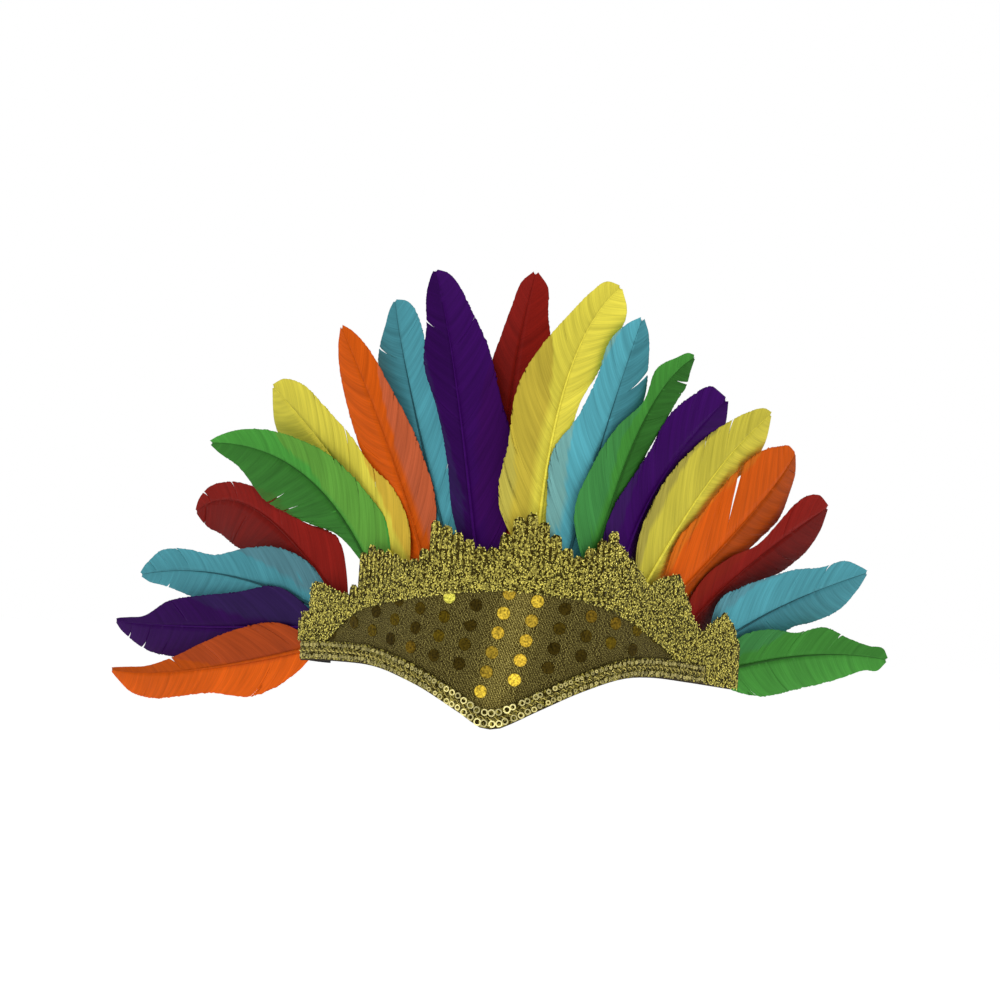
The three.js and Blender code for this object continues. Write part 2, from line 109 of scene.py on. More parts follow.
@dataclass(frozen=True)
class Slit:
    """One opening in a vane's edge.

    side is the half it is in, at is its share of the feather's length, deep its share of the barb
    from the edge in, and wide its width at the edge in millimetres.
    """

    side: Side
    at: float
    deep: float
    wide: float


@dataclass(frozen=True)
class FeatherRow:
    """One feather's place and shape, with lengths as shares, angles in degrees."""

    dye_and_painted_light: Dye
    along: float
    drop: float
    angle: float
    length: float
    bow: float
    bow_at: float
    left: tuple[float, ...]
    right: tuple[float, ...]
    lean: float
    twist: float
    curve: float
    # tones: each half's brightness, a painted light and shade between the two halves of the vane.
    tones: Pair = (1.0, 1.0)
    slits: tuple[Slit, ...] = ()


L = Side.LEFT
R = Side.RIGHT

FEATHERS = (
    FeatherRow(Dye.ORANGE, -0.87, 0.32, -99, 1.23, -0.03, 0.7,
               (0.55, 0.95, 0.7, 0.7, 0.75, 0.6, 0.25), (0.75, 0.9, 0.7, 0.4, 0.2, 0.15, 0.1),
               0.5, -12, 1, (1.0, 0.65), (Slit(R, 0.6, 0.4, 2.5),)),
    FeatherRow(Dye.PURPLE, -0.86, 0.18, -93, 1.28, -0.01, 0.75,
               (0.7, 1, 1, 0.9, 0.8, 0.5, 0.25), (0.95, 0.95, 0.85, 0.7, 0.25, 0.15, 0.1),
               3, -9, 1, (0.95, 0.8),
               (Slit(R, 0.84, 0.5, 2), Slit(L, 0.9, 0.6, 2), Slit(L, 0.8, 0.4, 2))),
    FeatherRow(Dye.BLUE, -0.8, 0.15, -86, 1.25, 0.055, 0.55,
               (0.6, 0.9, 1, 0.95, 0.7, 0.4, 0.25), (0.8, 1.1, 0.85, 0.5, 0.6, 0.6, 0.3),
               5, -5, 1, (0.92, 0.88), (Slit(R, 0.8, 0.2, 1.5), Slit(L, 0.86, 0.3, 2))),
    FeatherRow(Dye.RED, -0.75, 0.16, -73, 1.14, 0.135, 0.7,
               (0.6, 1, 1.25, 1.35, 1.2, 0.85, 0.55), (1, 0.65, 0.65, 0.55, 0.5, 0.45, 0.25),
               10, -4, 1, (0.8, 1.05),
               (Slit(R, 0.92, 0.6, 1.2), Slit(R, 0.72, 0.6, 1.4), Slit(L, 0.28, 0.8, 3))),
    FeatherRow(Dye.GREEN, -0.59, 0.16, -62, 1.11, 0.145, 0.5,
               (0.1, 0.55, 1.1, 1.35, 1.3, 0.6, 0.3), (0.95, 1.05, 0.95, 0.75, 0.6, 0.4, 0.2),
               1, -5, 1, (0.75, 1.3), (Slit(L, 0.72, 0.5, 1.6), Slit(L, 0.62, 0.45, 1.4))),
    FeatherRow(Dye.YELLOW, -0.46, 0.16, -51, 1.08, 0.04, 0.45,
               (0.6, 0.9, 1, 1, 1, 1.25, 0.95), (0.85, 1.1, 0.9, 0.9, 0.85, 0.75, 0.45),
               6.5, -12, 1, (0.95, 0.9), (Slit(R, 0.42, 0.6, 1.2), Slit(R, 0.62, 0.4, 1.5))),
    FeatherRow(Dye.ORANGE, -0.36, 0.16, -30, 1, 0.02, 0.4,
               (0.5, 0.85, 1, 1.15, 1.15, 0.85, 0.45), (0.4, 0.9, 0.95, 0.9, 0.7, 0.55, 0.3),
               6, -14, 0.72, (1, 0.9)),
    FeatherRow(Dye.BLUE, -0.245, 0.16, -23, 1.03, 0, 0.75,
               (0.5, 0.8, 0.9, 0.95, 0.85, 0.4, 0.2), (0.6, 0.7, 0.65, 0.6, 0.65, 0.55, 0.35),
               15, -7, 0.5, (0.85, 1.05), (Slit(L, 0.78, 0.4, 1.5), Slit(R, 0.3, 0.6, 1.2))),
    FeatherRow(Dye.PURPLE, -0.156, 0.26, -13, 1.1, 0.02, 0.75,
               (0.4, 0.5, 0.6, 0.8, 0.55, 0.4, 0.2), (0.85, 1.2, 1.05, 0.95, 0.7, 0.5, 0.3),
               6, 0, 0.63, (0.8, 1.1), (Slit(L, 0.76, 0.4, 1.5),)),
    FeatherRow(Dye.RED, -0.065, 0.16, 1, 1.05, -0.04, 0.5,
               (0.4, 0.7, 0.75, 0.75, 0.55, 0.4, 0.3), (0.5, 0.75, 0.9, 0.95, 0.85, 0.55, 0.4),
               16.5, 0, 0.57, (1.1, 1.1)),
    FeatherRow(Dye.YELLOW, 0.043, 0.16, 14, 1.03, -0.085, 0.75,
               (0.95, 1.05, 1.15, 0.9, 0.6, 0.45, 0.35), (0.5, 0.5, 0.5, 0.75, 0.8, 0.75, 0.5),
               8.5, 14, 0.72, (1, 1.15)),
    FeatherRow(Dye.BLUE, 0.145, 0.16, 16, 0.94, -0.01, 0.45,
               (0.6, 1, 1.15, 0.8, 0.65, 0.65, 0.35), (0.5, 0.6, 0.6, 0.6, 0.9, 0.65, 0.35),
               7.5, 16, 0.72, (1.25, 0.85), (Slit(R, 0.84, 0.6, 2.2),)),
    FeatherRow(Dye.GREEN, 0.25, 0.16, 27, 0.9, -0.09, 0.75,
               (0.85, 0.9, 0.65, 0.3, 0.5, 0.3, 0.2), (0.45, 0.6, 0.6, 0.7, 0.65, 0.55, 0.25),
               8.4, 16, 0.72, (1.15, 0.6), (Slit(R, 0.88, 0.7, 2.2),)),
    FeatherRow(Dye.PURPLE, 0.36, 0.16, 36, 0.86, -0.08, 0.45,
               (0.7, 0.95, 0.85, 0.85, 0.95, 0.8, 0.6), (0.65, 0.6, 0.6, 0.55, 0.45, 0.6, 0.65),
               7.5, 16, 0.72, (1.3, 0.9)),
    FeatherRow(Dye.YELLOW, 0.46, 0.16, 46, 1, -0.055, 0.6,
               (0.9, 1.25, 1.2, 1, 0.75, 0.5, 0.3), (0.6, 0.65, 0.7, 0.75, 1.05, 1, 0.65),
               5.5, 14, 0.86, (0.85, 0.95), (Slit(L, 0.76, 0.6, 1.4), Slit(L, 0.6, 0.4, 1))),
    FeatherRow(Dye.ORANGE, 0.56, 0.16, 54, 1.03, 0.015, 0.75,
               (1.05, 1.25, 1.35, 1.3, 1.05, 0.65, 0.4), (0.65, 0.85, 1, 1.15, 1.2, 0.8, 0.5),
               6.5, 12, 1, (1.1, 0.65), (Slit(L, 0.55, 0.8, 6),)),
    FeatherRow(Dye.RED, 0.69, 0.16, 62, 1.04, -0.03, 0.4,
               (0.4, 0.7, 0.6, 0.35, 0.5, 0.7, 0.5), (0.6, 0.7, 0.7, 0.75, 1.05, 1, 0.6),
               6.5, 11, 1, (1.15, 0.75), (Slit(R, 0.5, 0.4, 1),)),
    FeatherRow(Dye.BLUE, 0.85, 0.09, 73, 1.04, -0.03, 0.4,
               (0.9, 1.05, 0.95, 0.85, 0.6, 0.55, 0.25), (0.6, 0.8, 0.9, 0.8, 0.95, 0.85, 0.45),
               5, 10, 1, (1.15, 0.85), (Slit(L, 0.8, 0.3, 2),)),
    FeatherRow(Dye.GREEN, 0.87, 0.27, 87, 1.07, -0.04, 0.55,
               (0.65, 0.85, 0.65, 0.75, 0.45, 0.3, 0.3), (0.55, 1, 1, 0.9, 0.7, 0.4, 0.35),
               2.5, 8, 1, (0.95, 1.15), (Slit(L, 0.7, 0.3, 2),)),
)

CARD_TOP = ((-1.0, 0.24), (-0.86, 0.46), (-0.72, 0.55), (-0.45, 0.87), (-0.12, 1.0), (0.2, 1.0),
            (0.5, 0.78), (0.8, 0.37), (1.0, 0.18))
BROW_POINT = -0.085
CARD_LOW_LEFT = ((-1.0, 0.1), (-0.79, 0.04), (-0.58, 0.06), (-0.37, 0.32), (-0.2, 0.74),
                 (-0.125, 0.97), (BROW_POINT, 1.0))
CARD_LOW_RIGHT = ((BROW_POINT, 1.0), (-0.045, 0.96), (0.09, 0.6), (0.24, 0.24), (0.4, -0.01),
                  (0.55, -0.04), (0.75, 0.05), (1.0, 0.19))
LACE_TOP = ((-1.007, 0.0), (-0.99, 0.2), (-0.957, 0.08), (-0.942, 0.66), (-0.927, 0.74),
            (-0.84, 0.28), (-0.785, 0.1), (-0.72, 0.02), (-0.695, 0.53), (-0.66, 1.02),
            (-0.65, 1.1), (-0.61, 0.83), (-0.556, 0.55), (-0.5, 0.3), (-0.45, 0.04), (-0.4, 0.0),
            (-0.36, 0.25), (-0.332, 0.8), (-0.317, 0.93), (-0.295, 0.78), (-0.23, 0.49),
            (-0.163, 0.2), (-0.124, 0.0), (-0.09, 0.25), (-0.052, 0.56), (-0.026, 0.92),
            (0.006, 0.58), (0.027, 1.1), (0.054, 0.83), (0.108, 0.47), (0.147, 0.18), (0.2, 0.0),
            (0.242, 0.32), (0.28, 0.56), (0.329, 0.9), (0.368, 0.53), (0.418, 0.34), (0.473, 0.07),
            (0.5, 0.0), (0.553, 0.35), (0.622, 0.72), (0.66, 0.93), (0.7, 0.62), (0.758, 0.12),
            (0.8, 0.0), (0.832, 0.25), (0.924, 0.87), (0.973, 0.7), (1.02, 0.2))
LACE_LOW = ((-1.01, 0.0), (-0.85, 0.15), (-0.776, 0.31), (-0.7, 0.44), (-0.59, 0.53),
            (-0.345, 0.65), (-0.08, 0.74), (0.065, 0.73), (0.216, 0.69), (0.338, 0.6),
            (0.475, 0.45), (0.61, 0.27), (0.7, 0.12), (1.03, -0.1))


def row_before(table: Table, x: float) -> tuple[int, float]:
    """Finds the row of a table that a place comes after.

    Args:
        table: rows of a place and a value, in order.
        x: the place.

    Returns:
        The row's index and the place kept inside the table.
    """
    last = len(table) - 1
    x = min(max(x, table[0][0]), table[last][0])
    i = 0
    while i < last - 1 and x > table[i + 1][0]:
        i += 1
    return i, x


def straight(table: Table, x: float) -> float:
    """Reads a table along straight lines between its rows."""
    i, x = row_before(table, x)
    t = (x - table[i][0]) / (table[i + 1][0] - table[i][0])
    return table[i][1] + (table[i + 1][1] - table[i][1]) * t


def smooth(table: Table, x: float) -> float:
    """Reads a table along a smooth curve through its rows."""
    i, x = row_before(table, x)
    last = len(table) - 1

    def slope(j: int) -> float:
        """The curve's slope at row j."""
        a = table[max(0, j - 1)]
        b = table[min(last, j + 1)]
        return (b[1] - a[1]) / (b[0] - a[0])

    run = table[i + 1][0] - table[i][0]
    t = (x - table[i][0]) / run
    t2 = t * t
    t3 = t2 * t
    ahead = (2 * t3 - 3 * t2 + 1) * table[i][1] + (t3 - 2 * t2 + t) * slope(i) * run
    return ahead + (3 * t2 - 2 * t3) * table[i + 1][1] + (t3 - t2) * slope(i + 1) * run


@dataclass(frozen=True)
class Brow:
    """The bent strip that everything is fixed to, in millimetres: its plan and its outlines."""

    radius: float = 88.0
    half_angle: float = 44.0
    half_length: float = 139.0
    rise: float = 57.0
    point_drop: float = 27.5
    card: float = 1.5
    cloth: float = 1.0
    gap: float = 0.3
    hem: float = 0.8
    braid_width: float = 9.5
    braid_from: float = -0.985
    braid_to: float = 0.83
    lace_valley: float = 4.5
    lace_scallop: float = 20.0

    @property
    def cloth_front(self) -> float:
        """The cloth's front face, out of the card's inner face."""
        return self.card + self.gap + self.cloth

    @property
    def trim_back(self) -> float:
        """The back of the lace and the braid, out of the card's inner face."""
        return self.cloth_front + self.gap

    def frame(self, s: float) -> tuple[Vector, Vector, Vector]:
        """Gives the strip's foot, its direction and its way out at a distance along it.

        Args:
            s: distance along the inner face from the middle, in millimetres.

        Returns:
            The foot in millimetres, the direction along and the direction out.
        """
        side = -1 if s < 0 else 1
        limit = math.radians(self.half_angle)
        turn = side * min(abs(s) / self.radius, limit)
        run = side * max(abs(s) - self.radius * limit, 0)
        along = Vector((math.cos(turn), math.sin(turn), 0))
        out = Vector((math.sin(turn), -math.cos(turn), 0))
        foot = Vector((0, self.radius, 0)) + out * self.radius + along * run
        return foot, along, out

    def on(self, s: float, out: float, z: float) -> Vector:
        """The point at a distance along, out of and above the strip, in metres."""
        foot, _, way = self.frame(s)
        p = foot + way * out
        return Vector((p.x, p.y, z)) * MM

    def top(self, s: float) -> float:
        """The card's top edge."""
        return self.rise * smooth(CARD_TOP, s / self.half_length)

    def bottom(self, s: float) -> float:
        """The card's bottom edge."""
        x = s / self.half_length
        table = CARD_LOW_LEFT if x < BROW_POINT else CARD_LOW_RIGHT
        return -self.point_drop * smooth(table, x)

    @property
    def braid_span(self) -> Pair:
        """Where the braid starts and ends along the strip."""
        return self.braid_from * self.half_length, self.braid_to * self.half_length

    @property
    def lace_span(self) -> Pair:
        """Where the lace starts and ends along the strip."""
        return LACE_TOP[0][0] * self.half_length, LACE_TOP[-1][0] * self.half_length

    def braid_at(self, s: float, share: float) -> float:
        """The height of a share of the braid's width."""
        return self.bottom(s) + self.hem + self.braid_width * share

    def braid_top(self, s: float) -> float:
        """The braid's upper edge."""
        return self.braid_at(s, 1.0)

    def lace_top(self, s: float) -> float:
        """The lace's scalloped upper edge."""
        rise = straight(LACE_TOP, s / self.half_length)
        return self.top(s) + self.lace_valley + self.lace_scallop * rise

    def steps(self, count: int = 280) -> list[float]:
        """Places along the strip from end to end."""
        return [self.half_length * (2 * i / count - 1) for i in range(count + 1)]

    def area(self, low: Callable[[float], float], high: Callable[[float], float]) -> float:
        """The flat area between two edges, in square metres."""
        places = self.steps()
        run = places[1] - places[0]
        return sum(high(s) - low(s) for s in places) * run * MM * MM

    def lace_low(self, s: float) -> float:
        """The lace's lower edge."""
        if s > self.braid_span[1] + self.gap:
            return self.bottom(s) + self.hem
        band = self.rise * smooth(LACE_LOW, s / self.half_length)
        return max(band, self.braid_top(s) + self.gap)


BROW = Brow()


class Nodes:
    """A material's node tree, with short ways to add and join nodes."""

    def __init__(self, name: str) -> None:
        """Starts a material with its shader and output."""
        self.material = bpy.data.materials.new(name)
        self.material.use_nodes = True
        self.tree = self.material.node_tree
        self.shader = self.tree.nodes["Principled BSDF"]

    def add(self, kind: str, **settings: object) -> Node:
        """Adds a node, with its properties and its inputs set by name.

        Args:
            kind: the node's type name.
            settings: a property, or an input's name with spaces as underscores.

        Returns:
            The node.
        """
        node = self.tree.nodes.new(kind)
        for key, value in settings.items():
            if hasattr(node, key):
                setattr(node, key, value)
            else:
                node.inputs[key.replace("_", " ")].default_value = value
        return node

    def join(self, start: NodeSocket, end: NodeSocket) -> None:
        """Links an output to an input."""
        self.tree.links.new(start, end)

    def uv(self, across: float, along: float) -> NodeSocket:
        """The piece's own UV in millimetres, scaled each way."""
        place = self.add("ShaderNodeUVMap", uv_map="strip")
        scale = self.add("ShaderNodeMapping")
        scale.inputs["Scale"].default_value = (across, along, 1)
        self.join(place.outputs["UV"], scale.inputs["Vector"])
        return scale.outputs["Vector"]

    def dye_and_painted_light(self) -> NodeSocket:
        """The colour held at the piece's own points: its dye, with the painted light and shade laid
        into it.
        """
        return self.add("ShaderNodeAttribute", attribute_name="dye_and_painted_light").outputs["Color"]

    def place(self) -> NodeSocket:
        """The place on the object."""
        return self.add("ShaderNodeTexCoord").outputs["Object"]

    def noise(self, vector: NodeSocket, scale: float, detail: float = 2.0) -> NodeSocket:
        """A noise value over a vector."""
        node = self.add("ShaderNodeTexNoise", Scale=scale, Detail=detail)
        self.join(vector, node.inputs["Vector"])
        return node.outputs["Fac"]

    def spread(self, value: NodeSocket, low: float, high: float,
               to_low: float, to_high: float) -> NodeSocket:
        """A value moved from one range to another."""
        node = self.add("ShaderNodeMapRange")
        self.join(value, node.inputs["Value"])
        limits = {"From Min": low, "From Max": high, "To Min": to_low, "To Max": to_high}
        for key, number in limits.items():
            node.inputs[key].default_value = number
        return node.outputs["Result"]

    def vary(self, noise: NodeSocket, middle: float, by: float) -> NodeSocket:
        """A noise's usual range spread evenly about a middle."""
        return self.spread(noise, 0.3, 0.7, middle - by, middle + by)

    def mix(self, share: NodeSocket, dark: Colour, light: Colour) -> NodeSocket:
        """A colour between a dark and a light one."""
        node = self.add("ShaderNodeMix", data_type="RGBA")
        node.inputs[6].default_value = (*dark, 1)
        node.inputs[7].default_value = (*light, 1)
        self.join(share, node.inputs[0])
        return node.outputs[2]

    def tint(self, colour: NodeSocket, value: NodeSocket) -> NodeSocket:
        """A colour made darker or brighter by a value."""
        node = self.add("ShaderNodeVectorMath", operation="SCALE")
        self.join(colour, node.inputs[0])
        self.join(value, node.inputs["Scale"])
        return node.outputs["Vector"]

    def bump(self, height: NodeSocket, distance: float, strength: float) -> None:
        """Raises the surface by a height."""
        node = self.add("ShaderNodeBump", Distance=distance, Strength=strength)
        self.join(height, node.inputs["Height"])
        self.join(node.outputs["Normal"], self.shader.inputs["Normal"])

    def dress(self, colour: NodeSocket, roughness: float, metallic: float = 0.0,
              gloss: float = 0.5) -> Material:
        """Sets the surface.

        Args:
            colour: its base colour.
            roughness: how rough it is.
            metallic: how metallic it is.
            gloss: its specular level.

        Returns:
            The finished material.
        """
        self.join(colour, self.shader.inputs["Base Color"])
        looks = {"Roughness": roughness, "Metallic": metallic, "Specular IOR Level": gloss}
        for key, number in looks.items():
            self.shader.inputs[key].default_value = number
        return self.material


@dataclass(frozen=True)
class VaneFinish:
    """A dyed vane: satin barbs in fine streaks."""

    name: str
    roughness: float = 0.5
    gloss: float = 0.03
    streaks: float = 0.14
    fine: Pair = (1.6, 0.05)
    broad: Pair = (0.22, 0.03)
    relief: float = 0.00018

    def build(self) -> Material:
        """Makes the material, which reads the vane's colour attribute (its dye with painted light
        and shade) and strip UV.
        """
        n = Nodes(self.name)
        fine = n.noise(n.uv(*self.fine), 1.0, 3.0)
        broad = n.noise(n.uv(*self.broad), 1.0)
        shade = n.add("ShaderNodeMath", operation="ADD")
        n.join(n.vary(fine, 0.0, self.streaks), shade.inputs[0])
        n.join(n.vary(broad, 1.0, self.streaks), shade.inputs[1])
        n.bump(fine, self.relief, 0.5)
        return n.dress(n.tint(n.dye_and_painted_light(), shade.outputs["Value"]), self.roughness, gloss=self.gloss)


@dataclass(frozen=True)
class MetalThread:
    """Gold thread or foil, in tones read from the piece's colour attribute, which holds painted
    glints and shade.
    """

    name: str
    roughness: float
    metallic: float = 1.0
    grain: float = 2500.0
    mottle: float = 0.25
    gloss: float = 0.3

    def build(self) -> Material:
        """Makes the material."""
        n = Nodes(self.name)
        grain = n.noise(n.place(), self.grain, 1.0)
        mottled = n.tint(n.dye_and_painted_light(), n.vary(grain, 1.0, self.mottle))
        return n.dress(mottled, self.roughness, self.metallic, self.gloss)


@dataclass(frozen=True)
class GlitterGround:
    """Knitted ground of the lace: cells of metal thread, each with its own tone and tilt."""

    name: str
    dark: Colour = (0.04, 0.028, 0.002)
    light: Colour = (0.6, 0.52, 0.1)
    cell: float = 0.8
    sparse: float = 0.5
    squash: float = 0.7
    relief: float = 0.0006
    roughness: float = 0.35
    metallic: float = 0.6
    gloss: float = 0.1

    def build(self) -> Material:
        """Makes the material."""
        n = Nodes(self.name)
        cells = n.add("ShaderNodeTexVoronoi", Scale=1 / self.cell)
        n.join(n.uv(1.0, self.squash), cells.inputs["Vector"])
        split = n.add("ShaderNodeSeparateColor")
        n.join(cells.outputs["Color"], split.inputs["Color"])
        lit = n.spread(split.outputs["Red"], self.sparse, 1.0, 0.0, 1.0)
        n.bump(cells.outputs["Distance"], self.relief, 0.9)
        return n.dress(n.mix(lit, self.dark, self.light), self.roughness, self.metallic, self.gloss)


@dataclass(frozen=True)
class ClothFinish:
    """Olive gold knit: fine slanted ribs of metal thread, multiplied by the piece's colour, which
    holds a painted highlight along one slanted band.
    """

    name: str
    dark: Colour = (0.024, 0.015, 0.001)
    light: Colour = (0.44, 0.37, 0.1)
    rib: float = 0.8
    rib_run: float = 0.09
    stitch: Pair = (1.3, 2.6)
    relief: float = 0.0003
    roughness: float = 0.42
    metallic: float = 0.45
    gloss: float = 0.08

    def build(self) -> Material:
        """Makes the material."""
        n = Nodes(self.name)
        wave = n.add("ShaderNodeTexWave", Scale=1.0, Distortion=1.5, Detail=1.0, Detail_Scale=3.0)
        n.join(n.uv(1 / (self.rib * 3.2), self.rib_run), wave.inputs["Vector"])
        stitch = n.noise(n.uv(*self.stitch), 1.0)
        both = n.add("ShaderNodeMath", operation="MULTIPLY")
        n.join(wave.outputs["Fac"], both.inputs[0])
        n.join(n.spread(stitch, 0.35, 0.65, 0.0, 1.0), both.inputs[1])
        knit = n.mix(n.spread(both.outputs["Value"], 0.2, 0.85, 0.0, 1.0), self.dark, self.light)
        # Painted highlight: the knit is multiplied by the piece's colour, which carries a painted
        # pale band.
        painted_highlight = n.add("ShaderNodeMix", data_type="RGBA", blend_type="MULTIPLY")
        painted_highlight.inputs[0].default_value = 1.0
        n.join(knit, painted_highlight.inputs[6])
        n.join(n.dye_and_painted_light(), painted_highlight.inputs[7])
        n.bump(both.outputs["Value"], self.relief, 0.6)
        return n.dress(painted_highlight.outputs[2], self.roughness, self.metallic, self.gloss)


@dataclass(frozen=True)
class ElasticFinish:
    """Black ribbed elastic."""

    name: str
    rib: float = 1.1
    dark: Colour = (0.008, 0.008, 0.009)
    light: Colour = (0.035, 0.035, 0.037)
    relief: float = 0.0004
    roughness: float = 0.8

    def build(self) -> Material:
        """Makes the material."""
        n = Nodes(self.name)
        wave = n.add("ShaderNodeTexWave", Scale=0.31 / (self.rib * MM), Distortion=0.3,
                     bands_direction="Z")
        n.join(n.place(), wave.inputs["Vector"])
        n.bump(wave.outputs["Fac"], self.relief, 0.7)
        return n.dress(n.mix(wave.outputs["Fac"], self.dark, self.light), self.roughness)


@dataclass(frozen=True)
class CardFinish:
    """Dark brown card with a soft fleck."""

    name: str
    dark: Colour = (0.022, 0.015, 0.006)
    light: Colour = (0.06, 0.042, 0.016)
    fleck: float = 900.0
    relief: float = 0.0002
    roughness: float = 0.85

    def build(self) -> Material:
        """Makes the material."""
        n = Nodes(self.name)
        fleck = n.noise(n.place(), self.fleck, 3.0)
        n.bump(fleck, self.relief, 0.4)
        return n.dress(n.mix(fleck, self.dark, self.light), self.roughness)


def add_object(name: str, data: bpy.types.ID) -> Object:
    """Puts a mesh, camera or lamp in the scene as an object."""
    obj = bpy.data.objects.new(name, data)
    bpy.context.scene.collection.objects.link(obj)
    return obj


class Piece:
    """A mesh under way: a bmesh with a strip UV in millimetres and a colour at each point, its dye
    with painted light and shade.
    """

    def __init__(self, name: str) -> None:
        """Starts an empty piece."""
        self.name = name
        self.bm = bmesh.new()
        # This colour layer holds each point's dye together with its painted light and shade.
        self.dye_and_painted_light = self.bm.verts.layers.float_color.new("dye_and_painted_light")
        self.spot = self.bm.verts.layers.float_vector.new("spot")

    def sheet(self, across: int, along: int,
              place: Callable[[float, float], Laid]) -> list[BMVert]:
        """Adds a grid and lays each of its points on a surface.

        Args:
            across: steps in the first direction.
            along: steps in the second direction.
            place: gives a point, its UV in millimetres and its colour for shares from 0 to 1.

        Returns:
            The new points.
        """
        made = bmesh.ops.create_grid(self.bm, x_segments=across, y_segments=along, size=0.5)
        for v in made["verts"]:
            point, uv, colour = place(v.co.x + 0.5, v.co.y + 0.5)
            v.co = point
            v[self.spot] = (uv[0], uv[1], 0)
            v[self.dye_and_painted_light] = (*colour, 1)
        return made["verts"]

    def paint(self, verts: list[BMVert], colour: Colour, uv: Pair) -> None:
        """Gives points a colour and a place in the UV."""
        for v in verts:
            v[self.dye_and_painted_light] = (*colour, 1)
            v[self.spot] = (uv[0], uv[1], 0)

    def take(self, other: "Piece") -> None:
        """Moves the whole of another piece into this one."""
        mesh = bpy.data.meshes.new("part")
        other.bm.to_mesh(mesh)
        other.bm.free()
        self.bm.from_mesh(mesh)
        bpy.data.meshes.remove(mesh)
        self.dye_and_painted_light = self.bm.verts.layers.float_color["dye_and_painted_light"]
        self.spot = self.bm.verts.layers.float_vector["spot"]

    def merge(self, distance: float) -> None:
        """Joins the points that lie together."""
        bmesh.ops.remove_doubles(self.bm, verts=self.bm.verts[:], dist=distance)

    def finish(self, material: Material, recalc: bool = False,
               flat: bool = False) -> Object:
        """Makes the object.

        Args:
            material: what it is dressed in.
            recalc: turns its faces out, for closed shapes.
            flat: leaves its faces unsmoothed.

        Returns:
            The object, at the origin.
        """
        if recalc:
            bmesh.ops.recalc_face_normals(self.bm, faces=self.bm.faces[:])
        uv = self.bm.loops.layers.uv.new("strip")
        for face in self.bm.faces:
            face.smooth = not flat
            for loop in face.loops:
                loop[uv].uv = loop.vert[self.spot].xy
        mesh = bpy.data.meshes.new(self.name)
        self.bm.to_mesh(mesh)
        self.bm.free()
        mesh.attributes.remove(mesh.attributes["spot"])
        mesh.materials.append(material)
        return add_object(self.name, mesh)


def thicken(obj: Object, thickness: float) -> None:
    """Gives a sheet its thickness in millimetres, half to each side."""
    wall = obj.modifiers.new("thickness", "SOLIDIFY")
    wall.thickness = thickness * MM
    wall.offset = 0.0
    wall.use_even_offset = False


def lay_sheet(name: str, steps: tuple[int, int], place: Callable[[float, float], Laid],
              material: Material, thickness: float) -> Object:
    """Makes one sheet on the brow.

    Args:
        name: the object's name.
        steps: its steps along the brow and up it.
        place: lays its points, as in Piece.sheet.
        material: what it is dressed in.
        thickness: its thickness in millimetres.

    Returns:
        The object.
    """
    piece = Piece(name)
    piece.sheet(*steps, place)
    obj = piece.finish(material)
    thicken(obj, thickness)
    return obj


def fix(pieces: list[Object]) -> None:
    """Fixes pieces to the headdress's one body."""
    for obj in pieces:
        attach(obj, "root")


